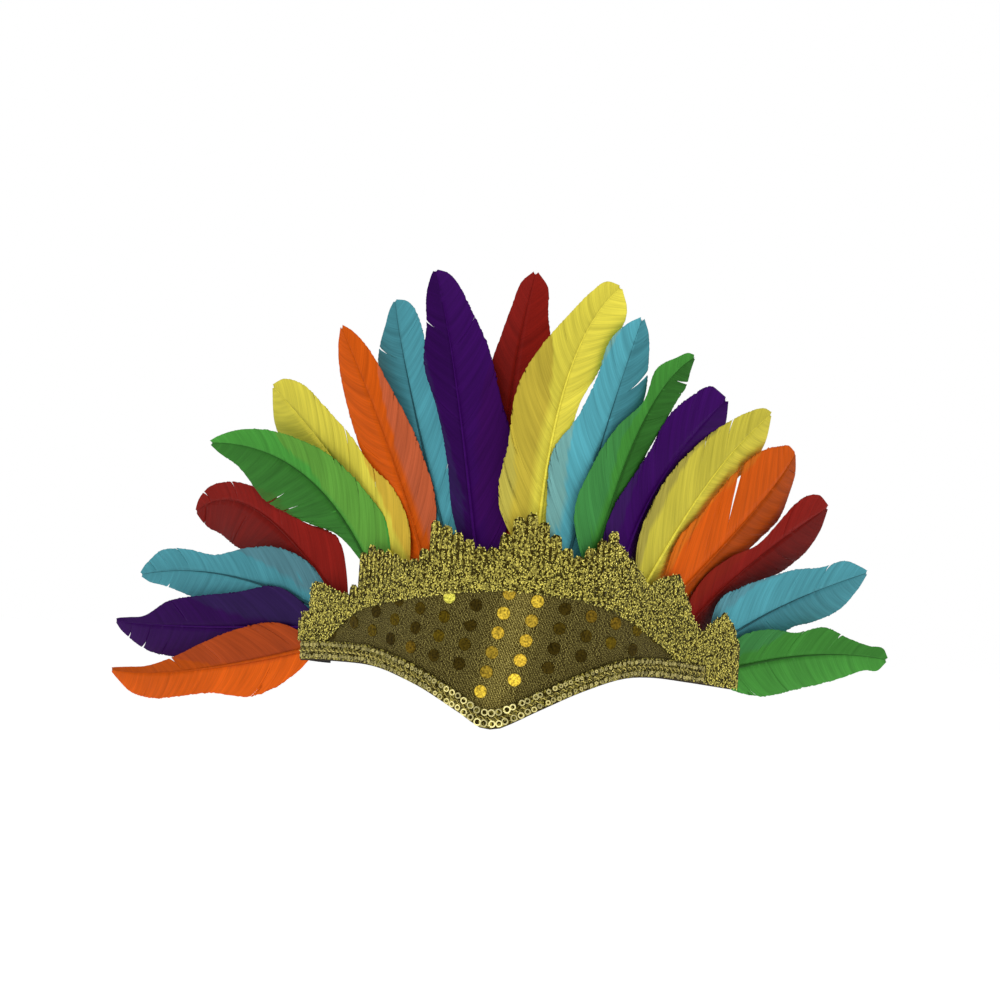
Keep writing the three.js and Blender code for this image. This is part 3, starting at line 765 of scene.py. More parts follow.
class FeatherShape:
    """A feather's shaft and vane in space, worked out from its row."""

    stations = (0.15, 0.3, 0.45, 0.6, 0.75, 0.88, 0.96)
    vane_start = 0.02
    full_length = 150.0
    full_width = 20.0
    down = 1.8
    tip_width = 1.2
    quill = 1.3
    quill_lap = 16.0
    curve_radius = 140.0
    samples = 240

    def __init__(self, row: FeatherRow) -> None:
        """Works the shaft out at its samples."""
        self.row = row
        self.length = row.length * self.full_length
        self.tables = {Side.LEFT: self.table(row.left), Side.RIGHT: self.table(row.right)}
        self.shaft = [self.station(i / self.samples) for i in range(self.samples + 1)]
        self.widths = {
            side: [max(smooth(table, i / self.samples), 0.0) for i in range(self.samples + 1)]
            for side, table in self.tables.items()
        }

    def table(self, widths: tuple[float, ...]) -> Table:
        """A half vane's widths in millimetres along the feather."""
        rows = [(self.vane_start, 0.0)]
        rows += [(t, w * self.full_width) for t, w in zip(self.stations, widths)]
        rows[1] = (rows[1][0], rows[1][1] + self.down)
        rows.append((1.0, self.tip_width))
        return tuple(rows)

    def between(self, t: float) -> tuple[int, float]:
        """The sample before a share of the length, and how far past it that share lies."""
        x = min(max(t, 0.0), 1.0) * self.samples
        i = min(int(x), self.samples - 1)
        return i, x - i

    def width(self, side: Side, t: float) -> float:
        """A half vane's width at a share of the length."""
        i, past = self.between(t)
        widths = self.widths[side]
        return widths[i] + (widths[i + 1] - widths[i]) * past

    def station(self, t: float) -> tuple[Vector, Vector, Vector]:
        """The shaft's point, the way across and the way out of the front, in millimetres."""
        row = self.row
        s = row.along * BROW.half_length
        foot, along, out = BROW.frame(s)
        turn = -math.radians(row.angle)
        mid = (2 * row.bow * self.length, row.bow_at * self.length)
        x = 2 * t * (1 - t) * mid[0]
        y = 2 * t * (1 - t) * mid[1] + t * t * self.length
        dx = 2 * (1 - 2 * t) * mid[0]
        dy = 2 * (1 - 2 * t) * mid[1] + 2 * t * self.length
        flat = Matrix.Rotation(turn, 2)
        spot = flat @ Vector((x, y))
        run = (flat @ Vector((dx, dy))).normalized()
        reach = t * self.length
        lean = math.tan(math.radians(row.lean))
        back = lean * reach * reach / (reach + self.quill_lap)
        height = BROW.top(s) - row.drop * BROW.rise
        point = foot + along * spot.x - out * (BROW.gap + self.quill + back)
        point.z = height + spot.y
        ahead = (along * run.x + Vector((0, 0, run.y)) - out * lean).normalized()
        across = ahead.cross(out).normalized()
        across.rotate(Quaternion(ahead, math.radians(row.twist)))
        return point, across, across.cross(ahead)

    def at(self, t: float) -> tuple[Vector, Vector, Vector]:
        """The shaft between its samples."""
        i, past = self.between(t)
        return tuple(p.lerp(q, past) for p, q in zip(self.shaft[i], self.shaft[i + 1]))

    def point(self, t: float, u: float, lift: float = 0.0) -> Vector:
        """A point of the vane, u millimetres right of the shaft, in metres."""
        spot, across, front = self.at(t)
        hollow = -u * u / (2 * self.row.curve * self.curve_radius)
        return (spot + across * u + front * (hollow + lift)) * MM


@dataclass
class Feather:
    """One dyed feather: its vane in barbs and clumps, its shaft, and its place in the fan.

    The slits left to chance have a range of places, depths and widths, as in Slit. A wave is its
    height, in millimetres or as a share of the colour, and how fast it runs along the feather.
    """

    number: int
    row: FeatherRow
    barbs: int = 170
    rows: int = 9
    slant: float = 1.25
    thickness: float = 0.22
    weld: float = 2e-5
    chance_slits: int = 3
    slit_at: Pair = (0.16, 0.97)
    slit_deep: Pair = (0.1, 0.45)
    slit_wide: Pair = (0.08, 0.4)
    slit_apart: int = 6
    slit_flare: float = 1.3
    crowding: float = 1.4
    sweep: float = 1.2
    ragged: float = 0.01
    clump_tone: Pair = (0.95, 1.05)
    clump_tilt: float = 0.25
    clump_lift: float = 0.4
    droop: float = 0.06
    lift_waves: tuple[Pair, Pair] = ((0.35, 9), (0.2, 23))
    tone_wave: Pair = (0.06, 5)
    edge_light: float = 0.1
    shaft_steps: tuple[int, int] = (64, 8)
    shaft_foot: float = 1.1
    shaft_tip: float = 0.16
    shaft_taper: float = 1.3
    shaft_depth: float = 0.9
    rng: random.Random = field(init=False)
    shape: FeatherShape = field(init=False)

    def __post_init__(self) -> None:
        """Seeds the feather's own chances and works out its shape."""
        self.rng = random.Random(SEED + self.number)
        self.shape = FeatherShape(self.row)

    @property
    def node(self) -> str:
        """The CAD node that the feather stands for."""
        return f"feather_{self.number:02d}"

    def roots(self, side: Side) -> list[float]:
        """The share of the shaft where each barb starts, from how far it runs up to its tip."""
        shape = self.shape
        found = []
        furthest = 0.0
        for i in range(self.barbs + 1):
            q = self.tip(i)
            root = q - self.slant * shape.width(side, q) / shape.length
            furthest = max(furthest, root, shape.vane_start * 0.5)
            found.append(furthest)
        return found

    def tip(self, i: float) -> float:
        """The share of the feather where barb i ends."""
        start = self.shape.vane_start
        return start + (1 - start) * min(max(i, 0.0), self.barbs) / self.barbs

    def slits(self, side: Side) -> list[tuple[float, float, float]]:
        """The openings of a half vane: barb number, depth share and width in barbs."""
        pitch = self.shape.length / self.barbs
        found = [(s.at * self.barbs, s.deep, s.wide / pitch)
                 for s in self.row.slits if s.side is side]
        for _ in range(self.chance_slits):
            place = self.rng.uniform(*self.slit_at) * self.barbs
            deep = self.rng.uniform(*self.slit_deep)
            found.append((place, deep, self.rng.uniform(*self.slit_wide) / pitch))
        found.sort()
        kept = []
        for place, deep, wide in found:
            if not kept or place - kept[-1][0] > self.slit_apart:
                kept.append((round(place), deep, wide))
        return kept

    def opened(self, p: float, deep: float, wide: float) -> float:
        """How far one side of a slit has opened at a share of the barb, in barbs."""
        share = max(p - (1 - deep), 0) / deep if deep else 0
        return share ** self.slit_flare * wide / 2

    def half(self, piece: Piece, side: Side) -> None:
        """Adds one half of the vane, clump by clump between its slits.

        Args:
            piece: the mesh that it goes in.
            side: which half.
        """
        shape = self.shape
        roots = self.roots(side)
        marks = [(0, 0.0, 0.0), *self.slits(side), (self.barbs, 0.0, 0.0)]
        ragged = [self.rng.gauss(0, self.ragged) for _ in range(self.barbs + 1)]
        ripple = [self.rng.uniform(0, 2 * math.pi) for _ in range(3)]
        base = self.row.dye_and_painted_light.colour
        # Painted light and shade: each half of the vane takes its own tone from the row, as the two
        # halves face the light differently.
        half_tone = self.row.tones[0 if side is Side.LEFT else 1]
        for (low, *low_slit), (high, *high_slit) in zip(marks, marks[1:]):
            tone = half_tone * self.rng.uniform(*self.clump_tone)
            tilt = self.rng.uniform(-self.clump_tilt, self.clump_tilt)

            def place(x: float, y: float) -> Laid:
                """Lays one point of the clump: x across the barbs, y out along them."""
                p = 1 - (1 - y) ** self.crowding
                first = low + self.opened(p, *low_slit)
                last = high - self.opened(p, *high_slit)
                i = first + (last - first) * x
                k = min(int(i), self.barbs - 1)
                root = roots[k] + (roots[k + 1] - roots[k]) * (i - k)
                q = self.tip(i)
                reach = shape.width(side, q) * (1 + ragged[round(i)])
                t = root + (q - root) * p ** self.sweep
                u = reach * (1 - (1 - p) ** self.sweep)
                wave = sum(high_of * math.sin(fast * t + start)
                           for (high_of, fast), start in zip(self.lift_waves, ripple))
                lift = p * (wave + tilt * (self.clump_lift + 4 * x * (1 - x))) - self.droop * u
                edge = 1 + self.edge_light * (p - 0.5)
                streak = 1 + self.tone_wave[0] * math.sin(self.tone_wave[1] * t + ripple[2])
                colour = base * tone * edge * streak
                return shape.point(t, side.value * u, lift), (q * shape.length, u), tuple(colour)

            made = piece.sheet(max(1, round(high - low)), self.rows, place)
            if side is Side.LEFT:
                faces = {face for v in made for face in v.link_faces}
                bmesh.ops.reverse_faces(piece.bm, faces=list(faces))

    def vane(self, finish: Material) -> Object:
        """Makes the vane, both halves joined along the shaft."""
        piece = Piece(f"{self.node}_vane")
        for side in Side:
            self.half(piece, side)
        piece.merge(self.weld)
        obj = piece.finish(finish)
        thicken(obj, self.thickness)
        return obj

    def quill(self, finish: Material) -> Object:
        """Makes the shaft, round at its foot and fine at the tip, sunk in the vane."""
        piece = Piece(f"{self.node}_shaft")
        shape = self.shape
        colour = tuple(self.row.dye_and_painted_light.colour * self.row.dye_and_painted_light.shaft)

        def place(x: float, y: float) -> Laid:
            """Lays one point of the shaft: x along it, y round it."""
            thick = max(self.shaft_foot * (1 - x) ** self.shaft_taper, self.shaft_tip)
            radius = thick if 0 < x < 1 else 0.0
            turn = 2 * math.pi * y
            u = radius * math.cos(turn)
            lift = radius * math.sin(turn) * self.shaft_depth
            return shape.point(x, u, lift), (x * shape.length, y), colour

        piece.sheet(*self.shaft_steps, place)
        piece.merge(self.weld)
        return piece.finish(finish, recalc=True)

    def build(self, finish: Material) -> list[Object]:
        """Makes the feather's pieces and puts them on the frame."""
        made = [self.vane(finish), self.quill(finish)]
        fix(made)
        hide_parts(self.node)
        return made


@dataclass
class Fan:
    """All the feathers, with painted light that shows through where one lies over another."""

    reach: float = 70.0
    clear: float = 0.0006
    neighbours: int = 3
    backlight: float = 1.08

    def shine_through(self, vanes: list[tuple[Feather, Object]]) -> None:
        """Paints the light that shines through each point of a vane: the dye of the feather that
        lies behind, and a brighter tone where only the backdrop lies behind.

        Args:
            vanes: each feather with its vane.
        """
        trees = [BVHTree.FromPolygons([v.co for v in obj.data.vertices],
                                      [p.vertices[:] for p in obj.data.polygons])
                 for _, obj in vanes]
        back = Vector((0, 1, 0))
        for k, (feather, obj) in enumerate(vanes):
            nearest = range(max(0, k - self.neighbours), min(len(vanes), k + self.neighbours + 1))
            near = [j for j in nearest if j != k]
            dye_and_painted_light = obj.data.attributes["dye_and_painted_light"].data
            share = feather.row.dye_and_painted_light.through
            for v in obj.data.vertices:
                own = Vector(dye_and_painted_light[v.index].color[:3])
                # Painted light: with nothing behind, the backdrop's light shining through brightens
                # the vane; a feather behind paints its dye in.
                seen = own * self.backlight
                for j in near:
                    hit = trees[j].ray_cast(v.co + back * self.clear, back, self.reach * MM)
                    if hit[0] is not None:
                        seen = own * (1 - share) + vanes[j][0].row.dye_and_painted_light.colour * share
                        break
                dye_and_painted_light[v.index].color = (*seen, 1)

    def build(self) -> list[Object]:
        """Makes every feather."""
        finish = VaneFinish("dyed_vane").build()
        made = []
        vanes = []
        for i, row in enumerate(FEATHERS):
            feather = Feather(i + 1, row)
            pieces = feather.build(finish)
            vanes.append((feather, pieces[0]))
            made += pieces
        self.shine_through(vanes)
        return made


@dataclass
class Cloth:
    """The sequin cloth over the card."""

    sequin_radius: float = 3.3
    sequin_depth: float = 0.35
    across: float = 14.2
    down: float = 10.2
    turn: float = 12.7
    first_along: float = -0.0435
    first_up: float = 0.72
    # Painted highlight and shade: tones for the sequins painted as catching the light, and for
    # those painted in shade.
    painted_highlight_tones: tuple[Colour, ...] = ((0.85, 0.58, 0.05), (0.72, 0.47, 0.04), (0.5, 0.33, 0.03))
    painted_highlight_columns: tuple[int, ...] = (0, 1)
    lit_column: int = -2
    lit: tuple[Colour, ...] = ((0.8, 0.74, 0.1),)
    painted_shade_tones: tuple[Colour, ...] = (
        (0.045, 0.03, 0.003), (0.045, 0.03, 0.003), (0.06, 0.04, 0.003), (0.09, 0.06, 0.003),
        (0.13, 0.08, 0.006))
    columns: int = 9
    per_column: int = 20
    shown: float = 0.6
    under_lace: float = 6.0
    tilt: float = 3.0
    shades: Pair = (0.85, 1.15)
    first_shade: float = 0.8
    dome: float = 0.93
    wall: float = 0.3
    # A painted highlight: how much paler the cloth is painted along a slanted band, and how wide
    # that band is.
    painted_highlight: float = 0.8
    painted_highlight_width: float = 9.0

    @property
    def first(self) -> Pair:
        """The first sequin's place, along the strip and up it."""
        return self.first_along * BROW.half_length, self.first_up * BROW.rise

    def ground(self) -> Object:
        """Makes the cloth itself, wrapped over the card."""
        edge = BROW.half_length - BROW.hem
        slope = math.tan(math.radians(self.turn))
        first, height = self.first

        def place(x: float, y: float) -> Laid:
            """Lays one point of the cloth: x along the brow, y up it."""
            s = -edge + 2 * edge * x
            low = BROW.bottom(s) + BROW.hem
            z = low + (BROW.top(s) - BROW.hem - low) * y
            aside = s - (first + self.across / 2) - (z - height) * slope
            # Painted highlight: the cloth's colour is painted paler along a slanted band between
            # the two middle columns of sequins.
            painted_highlight = 1 + self.painted_highlight * math.exp(-((aside / self.painted_highlight_width) ** 2))
            out = BROW.cloth_front - self.wall / 2
            return BROW.on(s, out, z), (s - z * slope, z), (painted_highlight, painted_highlight, painted_highlight)

        finish = ClothFinish("gold_cloth").build()
        return lay_sheet("sequin_cloth_ground", (140, 36), place, finish, self.wall)

    def places(self) -> list[tuple[int, float, float]]:
        """The sequins' column, distance along the strip and height."""
        turn = math.radians(self.turn)
        first, height = self.first
        reach = self.sequin_radius * self.shown
        found = []
        for i in range(-self.columns, self.columns + 1):
            for j in range(-self.per_column, self.per_column + 1):
                s = first + i * self.across * math.cos(turn) - j * self.down * math.sin(turn)
                z = height - i * self.across * math.sin(turn) - j * self.down * math.cos(turn)
                low = max(BROW.braid_top(s + d) for d in (-reach, 0, reach))
                high = min(BROW.lace_low(s + d) for d in (-reach, 0, reach))
                inside = abs(s) < BROW.half_length - self.sequin_radius
                if inside and z - reach > low and z + reach < high + self.under_lace:
                    found.append((i, s, z))
        return found

    def sequins(self) -> Object:
        """Makes the sequins as thin domed discs, with a painted highlight on the two middle columns
        and painted shade on the rest.
        """
        rng = random.Random(SEED)
        piece = Piece("sequin_cloth_sequins")
        for i, s, z in self.places():
            _, along, out = BROW.frame(s)
            tip = Matrix.Rotation(math.radians(rng.gauss(0, self.tilt)), 3, "X")
            tip = tip @ Matrix.Rotation(math.radians(rng.gauss(0, self.tilt)), 3, "Y")
            matrix = (Matrix((-along, UP, out)).transposed() @ tip).to_4x4()
            matrix.translation = BROW.on(s, BROW.cloth_front + self.sequin_depth / 2, z)
            made = bmesh.ops.create_cone(
                piece.bm, cap_ends=True, cap_tris=False, segments=22,
                radius1=self.sequin_radius * MM, radius2=self.sequin_radius * self.dome * MM,
                depth=self.sequin_depth * MM, matrix=matrix)
            # Painted highlight and shade: the middle columns and the upper lit column are painted
            # bright as if they caught the light, the rest dark as if in shade, and the first
            # column's highlight a little dimmer.
            tones = self.painted_highlight_tones if i in self.painted_highlight_columns else self.painted_shade_tones
            if i == self.lit_column and z > self.first[1] - self.down:
                tones = self.lit
            shade = rng.uniform(*self.shades) * (self.first_shade if i == 0 else 1.0)
            piece.paint(made["verts"], tuple(c * shade for c in rng.choice(tones)), (s, z))
        foil = MetalThread("sequin_foil", 0.3, 0.5, grain=1000.0, mottle=0.6, gloss=0.05)
        return piece.finish(foil.build(), recalc=True, flat=True)

    def build(self) -> list[Object]:
        """Makes the cloth and its sequins and puts them on the frame."""
        ground = self.ground()
        sequins = self.sequins()
        fix([ground, sequins])
        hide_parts("sequin_cloth")
        low = min(BROW.bottom(s) for s in BROW.steps())
        high = max(BROW.top(s) for s in BROW.steps())
        BROW.area(BROW.bottom, BROW.top)
        return [ground, sequins]


@dataclass(frozen=True)
class Thread:
    """Small faceted bits of metal thread."""

    size: float = 0.31
    gold: Colour = (0.72, 0.64, 0.14)
    # Painted glints and shade: the bits' tones run from near black to brighter than the gold, so
    # that some shine as highlights.
    tones: tuple[float, ...] = (0.08, 0.7, 1.25, 1.35)
    sizes: Pair = (0.7, 1.4)
    stretch: tuple[float, float, float] = (0.9, 0.9, 1.6)
    rise: float = 0.5
    turn: float = 0.5
    loose_turn: float = 2.5

    def add(self, piece: Piece, rng: random.Random, s: float, z: float, out: float,
            order: float) -> None:
        """Adds one bit.

        Args:
            piece: the mesh that it goes in.
            rng: the owner's chances.
            s: distance along the brow.
            z: height.
            out: distance out of the card's inner face.
            order: how upright it stands, from 0 to 1.
        """
        _, along, way = BROW.frame(s)
        turn = rng.gauss(0, self.turn + self.loose_turn * (1 - order))
        run = Vector((0, 0, math.cos(turn))) + along * math.sin(turn)
        matrix = Matrix((way, run.cross(way), run)).transposed().to_4x4()
        matrix.translation = BROW.on(s, out + rng.uniform(0, self.rise), z)
        matrix = matrix @ Matrix.Diagonal((*self.stretch, 1))
        made = bmesh.ops.create_uvsphere(piece.bm, u_segments=4, v_segments=2, matrix=matrix,
                                         radius=self.size * rng.uniform(*self.sizes) * MM)
        # Painted glint and shade: each bit takes one of the tones, from near black to brighter than
        # the gold.
        tone = rng.choice(self.tones)
        piece.paint(made["verts"], tuple(c * tone for c in self.gold), (s, z))


@dataclass
class Lace:
    """The gold lace: a knitted ground with stitches of metal thread standing on it."""

    column: float = 1.0
    stitch: float = 0.95
    per_rib: int = 3
    per_finger: int = 6
    strip: Pair = (300.0, 46.0)
    upright_from: float = -109.0
    upright_to: float = 45.0
    fade: float = 12.0
    least_fingers: float = 0.25
    wall: float = 0.3
    ground_drop: float = 0.4
    stitch_out: float = 0.5
    loose_below: float = 8.0
    loose_over: float = 14.0
    pull: float = 0.2
    scatter: float = 0.4
    loosest: float = 1.2
    scatter_up: float = 0.3
    spacing: Pair = (0.75, 1.25)
    thread: Thread = Thread()

    @property
    def finger(self) -> float:
        """The width of one finger of the scallops."""
        return self.column * self.per_finger

    def aside(self, s: float) -> float:
        """How far a place is from its finger's middle, from -1 to 1."""
        return 2 * (s / self.finger - math.floor(s / self.finger)) - 1

    def upright(self, s: float) -> float:
        """How far the stitches stand in columns here, from 0 to 1."""
        inside = min(s - self.upright_from, self.upright_to - s)
        return min(max(inside / self.fade + 0.5, 0.0), 1.0)

    def crest(self, s: float) -> float:
        """The upper edge, in rounded fingers where the columns stand and smoother beside them."""
        aside = self.aside(s)
        share = self.least_fingers + (1 - self.least_fingers) * self.upright(s)
        level = BROW.lace_top(s - share * aside * self.finger / 2)
        return level - share * self.finger / 2 * (1 - math.sqrt(max(1 - aside * aside, 0)))

    def ground(self) -> Object:
        """Makes the knitted ground."""
        first, last = BROW.lace_span

        def place(x: float, y: float) -> Laid:
            """Lays one point of the ground: x along the brow, y up it."""
            s = first + (last - first) * x
            low = BROW.lace_low(s)
            z = low + (self.crest(s) - self.ground_drop - low) * y
            return BROW.on(s, BROW.trim_back + self.wall, z), (s, z), (1, 1, 1)

        finish = GlitterGround("lace_ground").build()
        return lay_sheet("lace_ground", (860, 14), place, finish, self.wall)

    def order(self, s: float, z: float) -> float:
        """How strictly the stitches stand in columns at a place, from 0 to 1."""
        above = (z - BROW.top(s) + self.loose_below) / self.loose_over
        return self.upright(s) * min(max(above, 0.0), 1.0)

    def stitches(self) -> Object:
        """Makes the stitches, in columns that stand up the fingers and lie at random below."""
        rng = random.Random(SEED + 1)
        piece = Piece("lace_stitches")
        first, last = BROW.lace_span
        for i in range(math.ceil(first / self.column), math.floor(last / self.column)):
            s = (i + 0.5) * self.column
            rib = i % self.per_rib
            column = Piece("column")
            z = BROW.lace_low(s)
            while z < self.crest(s):
                order = self.order(s, z)
                if rib != 0 or order < 0.5:
                    shift = (self.pull if rib == 1 else -self.pull) * order
                    ds = rng.gauss(shift, self.scatter * (self.loosest - order))
                    dz = rng.gauss(0, self.scatter_up)
                    self.thread.add(column, rng, s + ds, z + dz,
                                    BROW.trim_back + self.stitch_out, order)
                z += self.stitch * rng.uniform(*self.spacing)
            piece.take(column)
        finish = MetalThread("gold_thread", 0.25, 0.15).build()
        return piece.finish(finish, recalc=True, flat=True)

    def build(self) -> list[Object]:
        """Makes the lace and puts it on the frame."""
        made = [self.ground(), self.stitches()]
        fix(made)
        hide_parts("lace_trim")
        BROW.area(BROW.lace_low, self.crest)
        return made


@dataclass
class Braid:
    """The gold braid along the lower edge: a tape with two rows of loops and a twisted thread.

    A share that grows holds its value at the far ends and what is added to it at the brow's point.
    """

    pitch: float = 3.6
    loop_radius: float = 1.35
    wire: float = 0.42
    rows: Pair = (0.2, 0.8)
    lay: float = 3.2
    strands: tuple[float, ...] = (1.3, 0.35)
    strand_radius: float = 0.3
    strand_swing: Pair = (0.6, 0.4)
    palest: float = BROW_POINT
    pale_reach: float = 30.0
    tape_wall: float = 0.9
    tape_out: float = 0.5
    loop_out: float = 1.4
    twist_out: float = 1.35
    bits_out: float = 1.2
    bits: int = 10
    bits_height: Pair = (0.05, 0.95)
    bits_share: Pair = (1.0, -0.6)
    pitch_share: Pair = (0.68, 0.32)
    radius_share: Pair = (0.42, 0.73)
    tone_share: Pair = (0.75, 0.65)
    pale_share: Pair = (0.4, 0.6)
    jitter: Pair = (0.3, 0.02)
    vary: Pair = (0.9, 1.1)
    tones: Pair = (0.5, 1.4)
    thread: Thread = Thread(0.3, (0.42, 0.37, 0.11))
    pale: Colour = (0.66, 0.59, 0.25)
    gold: Colour = (0.48, 0.4, 0.1)

    def tape(self) -> Object:
        """Makes the tape that the loops lie on."""
        first, last = BROW.braid_span

        def place(x: float, y: float) -> Laid:
            """Lays one point of the tape: x along the brow, y up it."""
            s = first + (last - first) * x
            z = BROW.braid_at(s, y)
            return BROW.on(s, BROW.trim_back + self.tape_out, z), (s, z), (1, 1, 1)

        finish = GlitterGround("braid_ground", cell=0.7, sparse=0.6).build()
        return lay_sheet("braid_tape", (240, 8), place, finish, self.tape_wall)

    def nearness(self, s: float) -> float:
        """How near a place is to the brow's point, 1 at the point."""
        return math.exp(-(((s - self.palest * BROW.half_length) / self.pale_reach) ** 2))

    def grown(self, share: Pair, s: float) -> float:
        """A share that grows towards the brow's point."""
        return share[0] + share[1] * self.nearness(s)

    def loops(self) -> Object:
        """Makes the two rows of loops."""
        rng = random.Random(SEED + 2)
        piece = Piece("braid_loops")
        first, last = BROW.braid_span
        s = first + self.loop_radius
        while s < last - self.loop_radius:
            for share in self.rows:
                loop = Piece("loop")
                ds = rng.gauss(0, self.jitter[0])
                self.loop_at(loop, rng, s + ds, share + rng.gauss(0, self.jitter[1]))
                piece.take(loop)
            s += self.pitch * self.grown(self.pitch_share, s) * rng.uniform(*self.vary)
        return piece.finish(MetalThread("braid_thread", 0.28, 0.35).build(), recalc=True)

    def loop_at(self, piece: Piece, rng: random.Random, s: float, share: float) -> None:
        """Adds one loop by turning a wire section round its middle.

        Args:
            piece: the mesh that it goes in.
            rng: the braid's chances.
            s: distance along the brow.
            share: height up the braid.
        """
        z = BROW.braid_at(s, share)
        _, along, out = BROW.frame(s)
        radius = self.loop_radius * self.grown(self.radius_share, s) * rng.uniform(*self.vary)
        centre = BROW.on(s, BROW.trim_back + self.loop_out, z)
        start = centre + along * radius * MM
        made = bmesh.ops.create_circle(piece.bm, segments=6, radius=self.wire * MM,
                                       matrix=Matrix.Translation(start))
        ring = made["verts"]
        edges = list({e for v in ring for e in v.link_edges})
        bmesh.ops.spin(piece.bm, geom=ring + edges, cent=centre, axis=out, angle=2 * math.pi,
                       steps=12, use_merge=True)
        tone = self.grown(self.tone_share, s) * rng.uniform(*self.tones)
        paleness = self.grown(self.pale_share, s)
        colour = Vector(self.gold).lerp(Vector(self.pale), paleness) * tone
        piece.paint(piece.bm.verts[:], tuple(colour), (s, z))

    def glitter(self) -> Object:
        """Makes the loose bits of thread between the loops, fewer near the point."""
        rng = random.Random(SEED + 3)
        piece = Piece("braid_glitter")
        first, last = BROW.braid_span
        s = first + self.loop_radius
        while s < last - self.loop_radius:
            column = Piece("column")
            for _ in range(round(self.bits * self.grown(self.bits_share, s))):
                z = BROW.braid_at(s, rng.uniform(*self.bits_height))
                self.thread.add(column, rng, s, z, BROW.trim_back + self.bits_out, 0.0)
            piece.take(column)
            s += 1.0
        finish = MetalThread("braid_glitter", 0.28, 0.35).build()
        return piece.finish(finish, recalc=True, flat=True)

    def twist(self) -> Object:
        """Makes the twisted thread between the rows, in two strands."""
        piece = Piece("braid_twist")
        first, last = BROW.braid_span
        up, forward = self.strand_swing
        for strand, tone in enumerate(self.strands):
            colour = tuple(c * tone for c in self.gold)

            def place(x: float, y: float) -> Laid:
                """Lays one point of a strand: x along the brow, y round the strand."""
                s = first + (last - first) * x
                spiral = 2 * math.pi * s / self.lay + strand * math.pi
                radius = self.strand_radius if 0 < x < 1 else 0.0
                turn = 2 * math.pi * y
                z = BROW.braid_at(s, 0.5) + up * math.cos(spiral) + radius * math.cos(turn)
                out = BROW.trim_back + self.twist_out + forward * math.sin(spiral)
                out += radius * math.sin(turn)
                return BROW.on(s, out, z), (s, y), colour

            piece.sheet(900, 6, place)
        piece.merge(1e-6)
        return piece.finish(MetalThread("twist_thread", 0.3, 0.5).build(), recalc=True)

    def build(self) -> list[Object]:
        """Makes the braid and puts it on the frame."""
        made = [self.tape(), self.loops(), self.twist(), self.glitter()]
        fix(made)
        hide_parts("lower_braid")
        return made


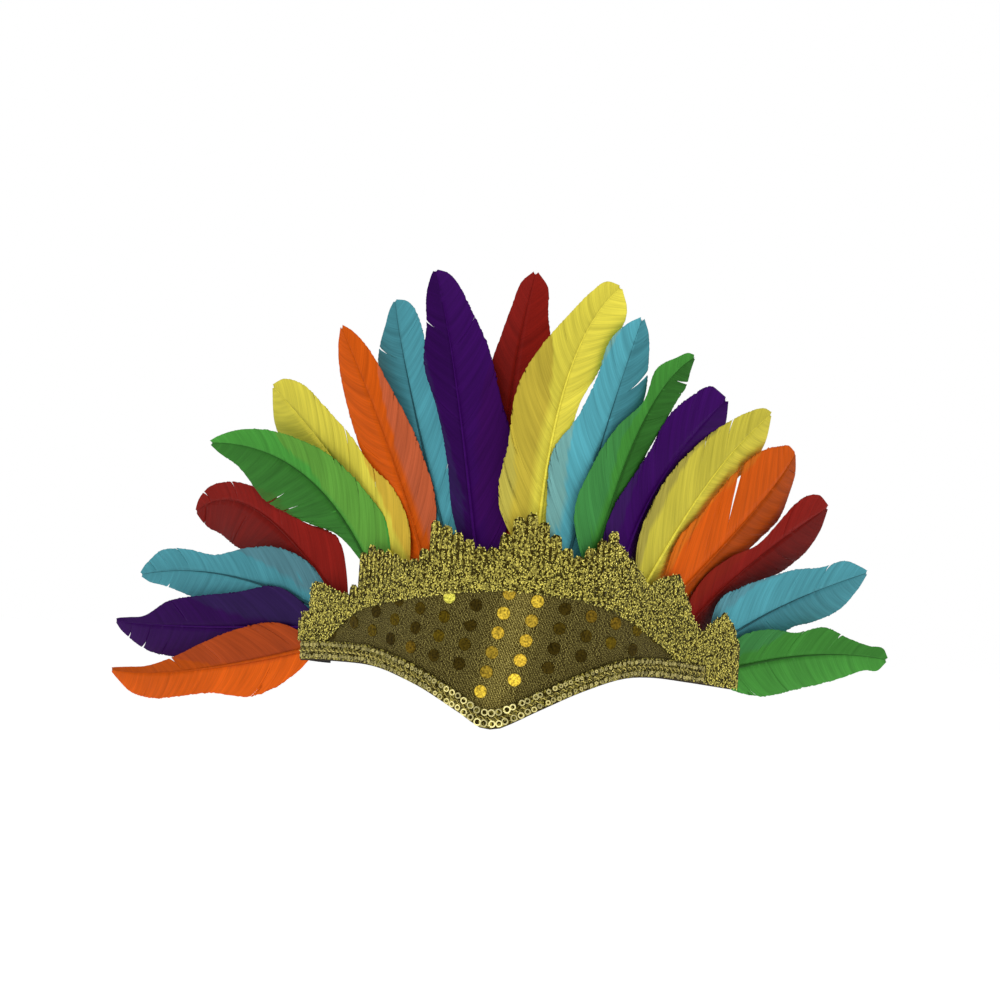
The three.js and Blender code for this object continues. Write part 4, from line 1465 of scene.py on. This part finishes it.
@dataclass
class Stage:
    """The camera at the photograph's place, a pale floor, and soft lights."""

    distance: float = 1.4
    centre_x: float = -0.01355
    centre_z: float = 0.08736
    roll: float = 3.3
    lens: float = 100.8
    sensor: float = 36.0
    aim: tuple[float, float, float] = (0.0, 0.05, 0.08)
    ambient: float = 0.5
    floor_glow: float = 0.56

    def camera(self) -> None:
        """Makes the camera, level and rolled a little."""
        data = bpy.data.cameras.new("camera")
        data.lens = self.lens
        data.sensor_width = self.sensor
        obj = add_object("camera", data)
        place = Matrix.Translation((self.centre_x, -self.distance, self.centre_z))
        roll = Matrix.Rotation(-math.radians(self.roll), 4, "Y")
        obj.matrix_world = place @ roll @ Matrix.Rotation(math.pi / 2, 4, "X")
        bpy.context.scene.camera = obj

    def floor(self) -> None:
        """Makes the pale floor."""
        bm = bmesh.new()
        bmesh.ops.create_grid(bm, x_segments=2, y_segments=2, size=6.0,
                              matrix=Matrix.Translation((0, 0, -0.3)))
        mesh = bpy.data.meshes.new("floor")
        bm.to_mesh(mesh)
        bm.free()
        n = Nodes("pale_floor")
        grain = n.noise(n.place(), 40.0)
        n.join(n.spread(grain, 0.0, 1.0, 0.62, 0.66), n.shader.inputs["Roughness"])
        n.shader.inputs["Base Color"].default_value = (0.9, 0.9, 0.9, 1)
        n.shader.inputs["Emission Color"].default_value = (1, 1, 1, 1)
        n.shader.inputs["Emission Strength"].default_value = self.floor_glow
        mesh.materials.append(n.material)
        add_object("floor", mesh)

    def lamp(self, name: str, place: tuple[float, float, float], size: float, power: float) -> None:
        """Adds a soft lamp that looks at the headdress."""
        data = bpy.data.lights.new(name, "AREA")
        data.shape = "DISK"
        data.size = size
        data.energy = power
        way = Vector(self.aim) - Vector(place)
        turn = way.to_track_quat("-Z", "Y").to_matrix().to_4x4()
        add_object(name, data).matrix_world = Matrix.Translation(place) @ turn

    def light(self) -> None:
        """Sets the pale surroundings and the lamps."""
        world = bpy.data.worlds.new("studio")
        world.use_nodes = True
        tree = world.node_tree
        seen = tree.nodes["Background"]
        soft = tree.nodes.new("ShaderNodeBackground")
        for background, strength in ((seen, 1.0), (soft, self.ambient)):
            background.inputs["Color"].default_value = (1, 1, 1, 1)
            background.inputs["Strength"].default_value = strength
        path = tree.nodes.new("ShaderNodeLightPath")
        mix = tree.nodes.new("ShaderNodeMixShader")
        tree.links.new(path.outputs["Is Camera Ray"], mix.inputs["Fac"])
        tree.links.new(soft.outputs["Background"], mix.inputs[1])
        tree.links.new(seen.outputs["Background"], mix.inputs[2])
        tree.links.new(mix.outputs["Shader"], tree.nodes["World Output"].inputs["Surface"])
        bpy.context.scene.world = world
        bpy.context.scene.view_settings.view_transform = "Standard"
        self.lamp("key", (-0.7, -1.1, 1.3), 0.7, 10)
        self.lamp("fill", (1.3, -1.0, 0.5), 1.2, 3)
        self.lamp("back", (0.0, 1.4, 1.0), 1.0, 5)


def dress(node: str, material: Material) -> None:
    """Gives a CAD node its finish."""
    materials = frame["nodes"][node].data.materials
    materials.clear()
    materials.append(material)


def main() -> None:
    """Builds the headdress in order and reports each piece."""
    logging.basicConfig(level=logging.INFO, format="%(message)s")
    stage = Stage()
    stage.camera()
    stage.floor()
    stage.light()
    dress("backing_card", CardFinish("brown_card").build())
    dress("head_band", ElasticFinish("black_elastic").build())
    for part in (Cloth(), Lace(), Braid(), Fan()):
        for obj in part.build():
            log.info("%s: %d faces", obj.name, len(obj.data.polygons))


if __name__ == "__main__":
    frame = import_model()
    main()
